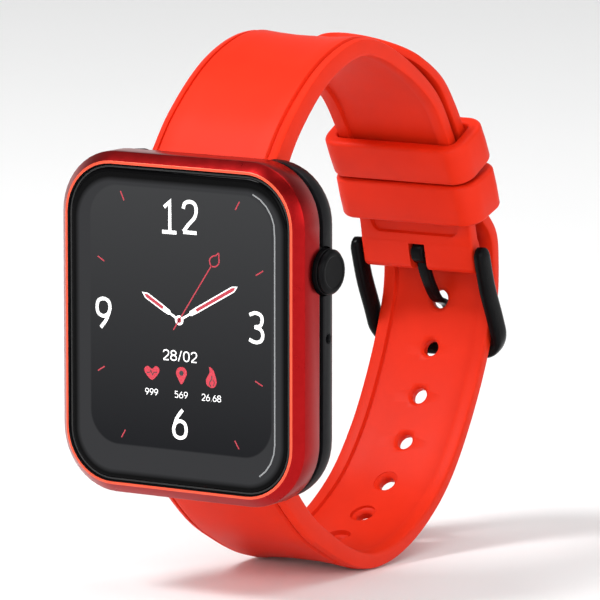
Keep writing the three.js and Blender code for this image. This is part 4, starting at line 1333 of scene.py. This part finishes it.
def buckle_path():
    """(across, distance up from the crossbar) along the U."""
    reach, corner = ARM_PLACE, BUCKLE_CORNER
    path = []
    for i in range(9):
        path.append((reach, SIDE.length + ARM_TOP * math.cos(i / 8 * math.pi / 2)))
    for i in range(1, 25):
        path.append((reach, SIDE.length - (SIDE.length - corner) * i / 24))
    for i in range(1, 12):
        turn = i / 12 * math.pi / 2
        path.append((reach - corner * (1 - math.cos(turn)), corner * (1 - math.sin(turn))))
    for i in range(9):
        path.append(((reach - corner) * (1 - i / 8), 0.0))
    return path + [(-x, v) for x, v in reversed(path[:-1])]


def oval(wide, thick, power=0.62, steps=BUCKLE_STEPS):
    """A rounded box outline; a smaller power gives squarer corners."""
    points = []
    for i in range(steps):
        angle = 2 * math.pi * i / steps
        c, s = math.cos(angle), math.sin(angle)
        points.append((
            wide * math.copysign(abs(c) ** power, c), thick * math.copysign(abs(s) ** power, s),
        ))
    return points


def only_black_steel(obj):
    obj.data.materials.clear()
    obj.data.materials.append(MATERIALS["black_steel"])


def build_buckle():
    path = buckle_path()
    points = []
    for i, (x, v) in enumerate(path):
        ahead, behind = path[min(i + 1, len(path) - 1)], path[max(i - 1, 0)]
        flow = Vector((ahead[0] - behind[0], ahead[1] - behind[1])).normalized()
        middle, along, out = SIDE.station(v / SIDE.length)
        middle = middle + along * max(v - SIDE.length, 0)
        across = Vector((flow.y, 0, 0)) + along * -flow.x
        middle.y -= 0.4 * ease(v / SIDE.length)
        arm = ease(v / BUCKLE_CORNER)
        cap = math.sqrt(max(1 - (max(v - SIDE.length, 0) / ARM_TOP) ** 2, 0.02))
        wide = mix(BAR_HALF, ARM_HALF, arm) * (0.55 + 0.45 * cap)
        thick = mix(BAR_HALF, ARM_DEEP, arm) * cap
        for a, b in oval(wide, thick):
            points.append(Vector((x, middle.y, middle.z)) + across * a + out * b)
    faces = ring_faces(len(path), BUCKLE_STEPS, False, True)
    buckle = make_object(
        "buckle_loop", points, faces, MATERIALS["black_steel"], body="buckle", node="buckle_frame",
        slot="black_steel", sharp=40,
    )
    carve(buckle, [cutter_rod(PIN_BORE, PIN, X_AXIS, 2 * PIN_HALF + 0.2)], sharp=40)
    only_black_steel(buckle)


build_buckle()


def build_pin():
    end = [(0.65, 10.1), (0.62, 10.22), (0.5, PIN_HALF), (0, PIN_HALF)]
    profile = [(radius, -x) for radius, x in reversed(end)] + end
    spin("hinge_pin", profile, PIN, X_AXIS, MATERIALS["steel"], 32, node="buckle_pin", slot="steel")


build_pin()


def build_tang():
    blade = Line([
        (PIN.y + 0.3, PIN.z - 0.6), (PIN.y + 1.0, PIN.z - 2.7), (PIN.y + 2.5, PIN.z - 5.2),
        (PIN.y + 4.0, PIN.z - 6.95), (PIN.y + 5.2, PIN.z - 7.4), (PIN.y + 6.5, PIN.z - 8.0),
        (CROSSBAR.y + 2.45, CROSSBAR.z + 4.2), (CROSSBAR.y + 2.45, CROSSBAR.z + 2.2),
        (CROSSBAR.y + 2.25, CROSSBAR.z + 0.2),
    ], 1)

    def section(share):
        end = math.sqrt(max(1 - max((share - 0.94) / 0.06, 0) ** 2, 0.004))
        wide = mix(0.95, 0.72, ease((share - 0.35) / 0.5)) * end
        thick = mix(0.55, 0.38, share / 0.6) * end
        return oval(wide, thick, 0.55, 24)

    tang = sweep(
        "tang_blade", blade, spread(56), section, MATERIALS["black_steel"], body="tang",
        node="buckle_tang", slot="black_steel", sharp=45,
    )
    carve(tang, [rounded_rod(1.5, 0.95, PIN, 0.3, 40)], "UNION", 45)
    carve(tang, [cutter_rod(PIN_BORE, PIN, X_AXIS, 10)], sharp=45)
    only_black_steel(tang)


build_tang()


# ---------------- floor and light
def build_floor():
    mesh = bpy.data.meshes.new("floor")
    reach = 6.0
    corners = [(-reach, -reach, 0), (reach, -reach, 0), (reach, reach, 0), (-reach, reach, 0)]
    mesh.from_pydata(corners, [], [(0, 1, 2, 3)])
    floor = bpy.data.objects.new("floor", mesh)
    bpy.context.scene.collection.objects.link(floor)
    paper = new_material("paper", (0.93, 0.93, 0.93), 0.6)
    add_mottle(paper, 3, (0.92, 0.92, 0.92), (0.94, 0.94, 0.94))
    mesh.materials.append(paper)


# Name, place in metres, size and power of each lamp; all of them aim at one point.
LAMPS = (
    ("key", (-0.5, -0.6, 1.1), (0.4, 0.4), 12.5),
    ("side", (0.9, -0.15, 0.35), (0.5, 0.5), 2.2),
    ("overhead", (0.35, 0.45, 2.0), (1.6, 1.6), 16.0),
    ("front", (0.35, -0.9, 0.45), (0.8, 0.6), 5.2),
)
LAMP_AIM = Vector((0, 0.02, 0.035))


def add_light(name, spot, size, power):
    lamp = bpy.data.lights.new(name, "AREA")
    lamp.shape = "RECTANGLE"
    lamp.size, lamp.size_y = size
    lamp.energy = power
    obj = bpy.data.objects.new(name, lamp)
    obj.location = spot
    obj.rotation_euler = (LAMP_AIM - Vector(spot)).to_track_quat("-Z", "Y").to_euler()
    bpy.context.scene.collection.objects.link(obj)


def build_light():
    world = bpy.data.worlds.new("studio")
    world.use_nodes = True
    nodes, links = world.node_tree.nodes, world.node_tree.links
    direction = nodes.new("ShaderNodeTexCoord")
    split = nodes.new("ShaderNodeSeparateXYZ")
    ramp = nodes.new("ShaderNodeValToRGB")
    ramp.color_ramp.elements[0].position = 0.0
    ramp.color_ramp.elements[0].color = (0.97, 0.97, 0.97, 1)
    ramp.color_ramp.elements[1].position = 1.0
    ramp.color_ramp.elements[1].color = (0.12, 0.12, 0.12, 1)
    for position, level in ((0.12, 0.92), (0.45, 0.34)):
        ramp.color_ramp.elements.new(position).color = (level, level, level, 1)
    links.new(direction.outputs["Generated"], split.inputs["Vector"])
    links.new(split.outputs["Z"], ramp.inputs["Fac"])
    links.new(ramp.outputs["Color"], nodes["Background"].inputs["Color"])
    nodes["Background"].inputs["Strength"].default_value = 1.0
    bpy.context.scene.world = world
    bpy.context.scene.view_settings.view_transform = "Standard"
    for lamp in LAMPS:
        add_light(*lamp)


build_floor()
build_light()
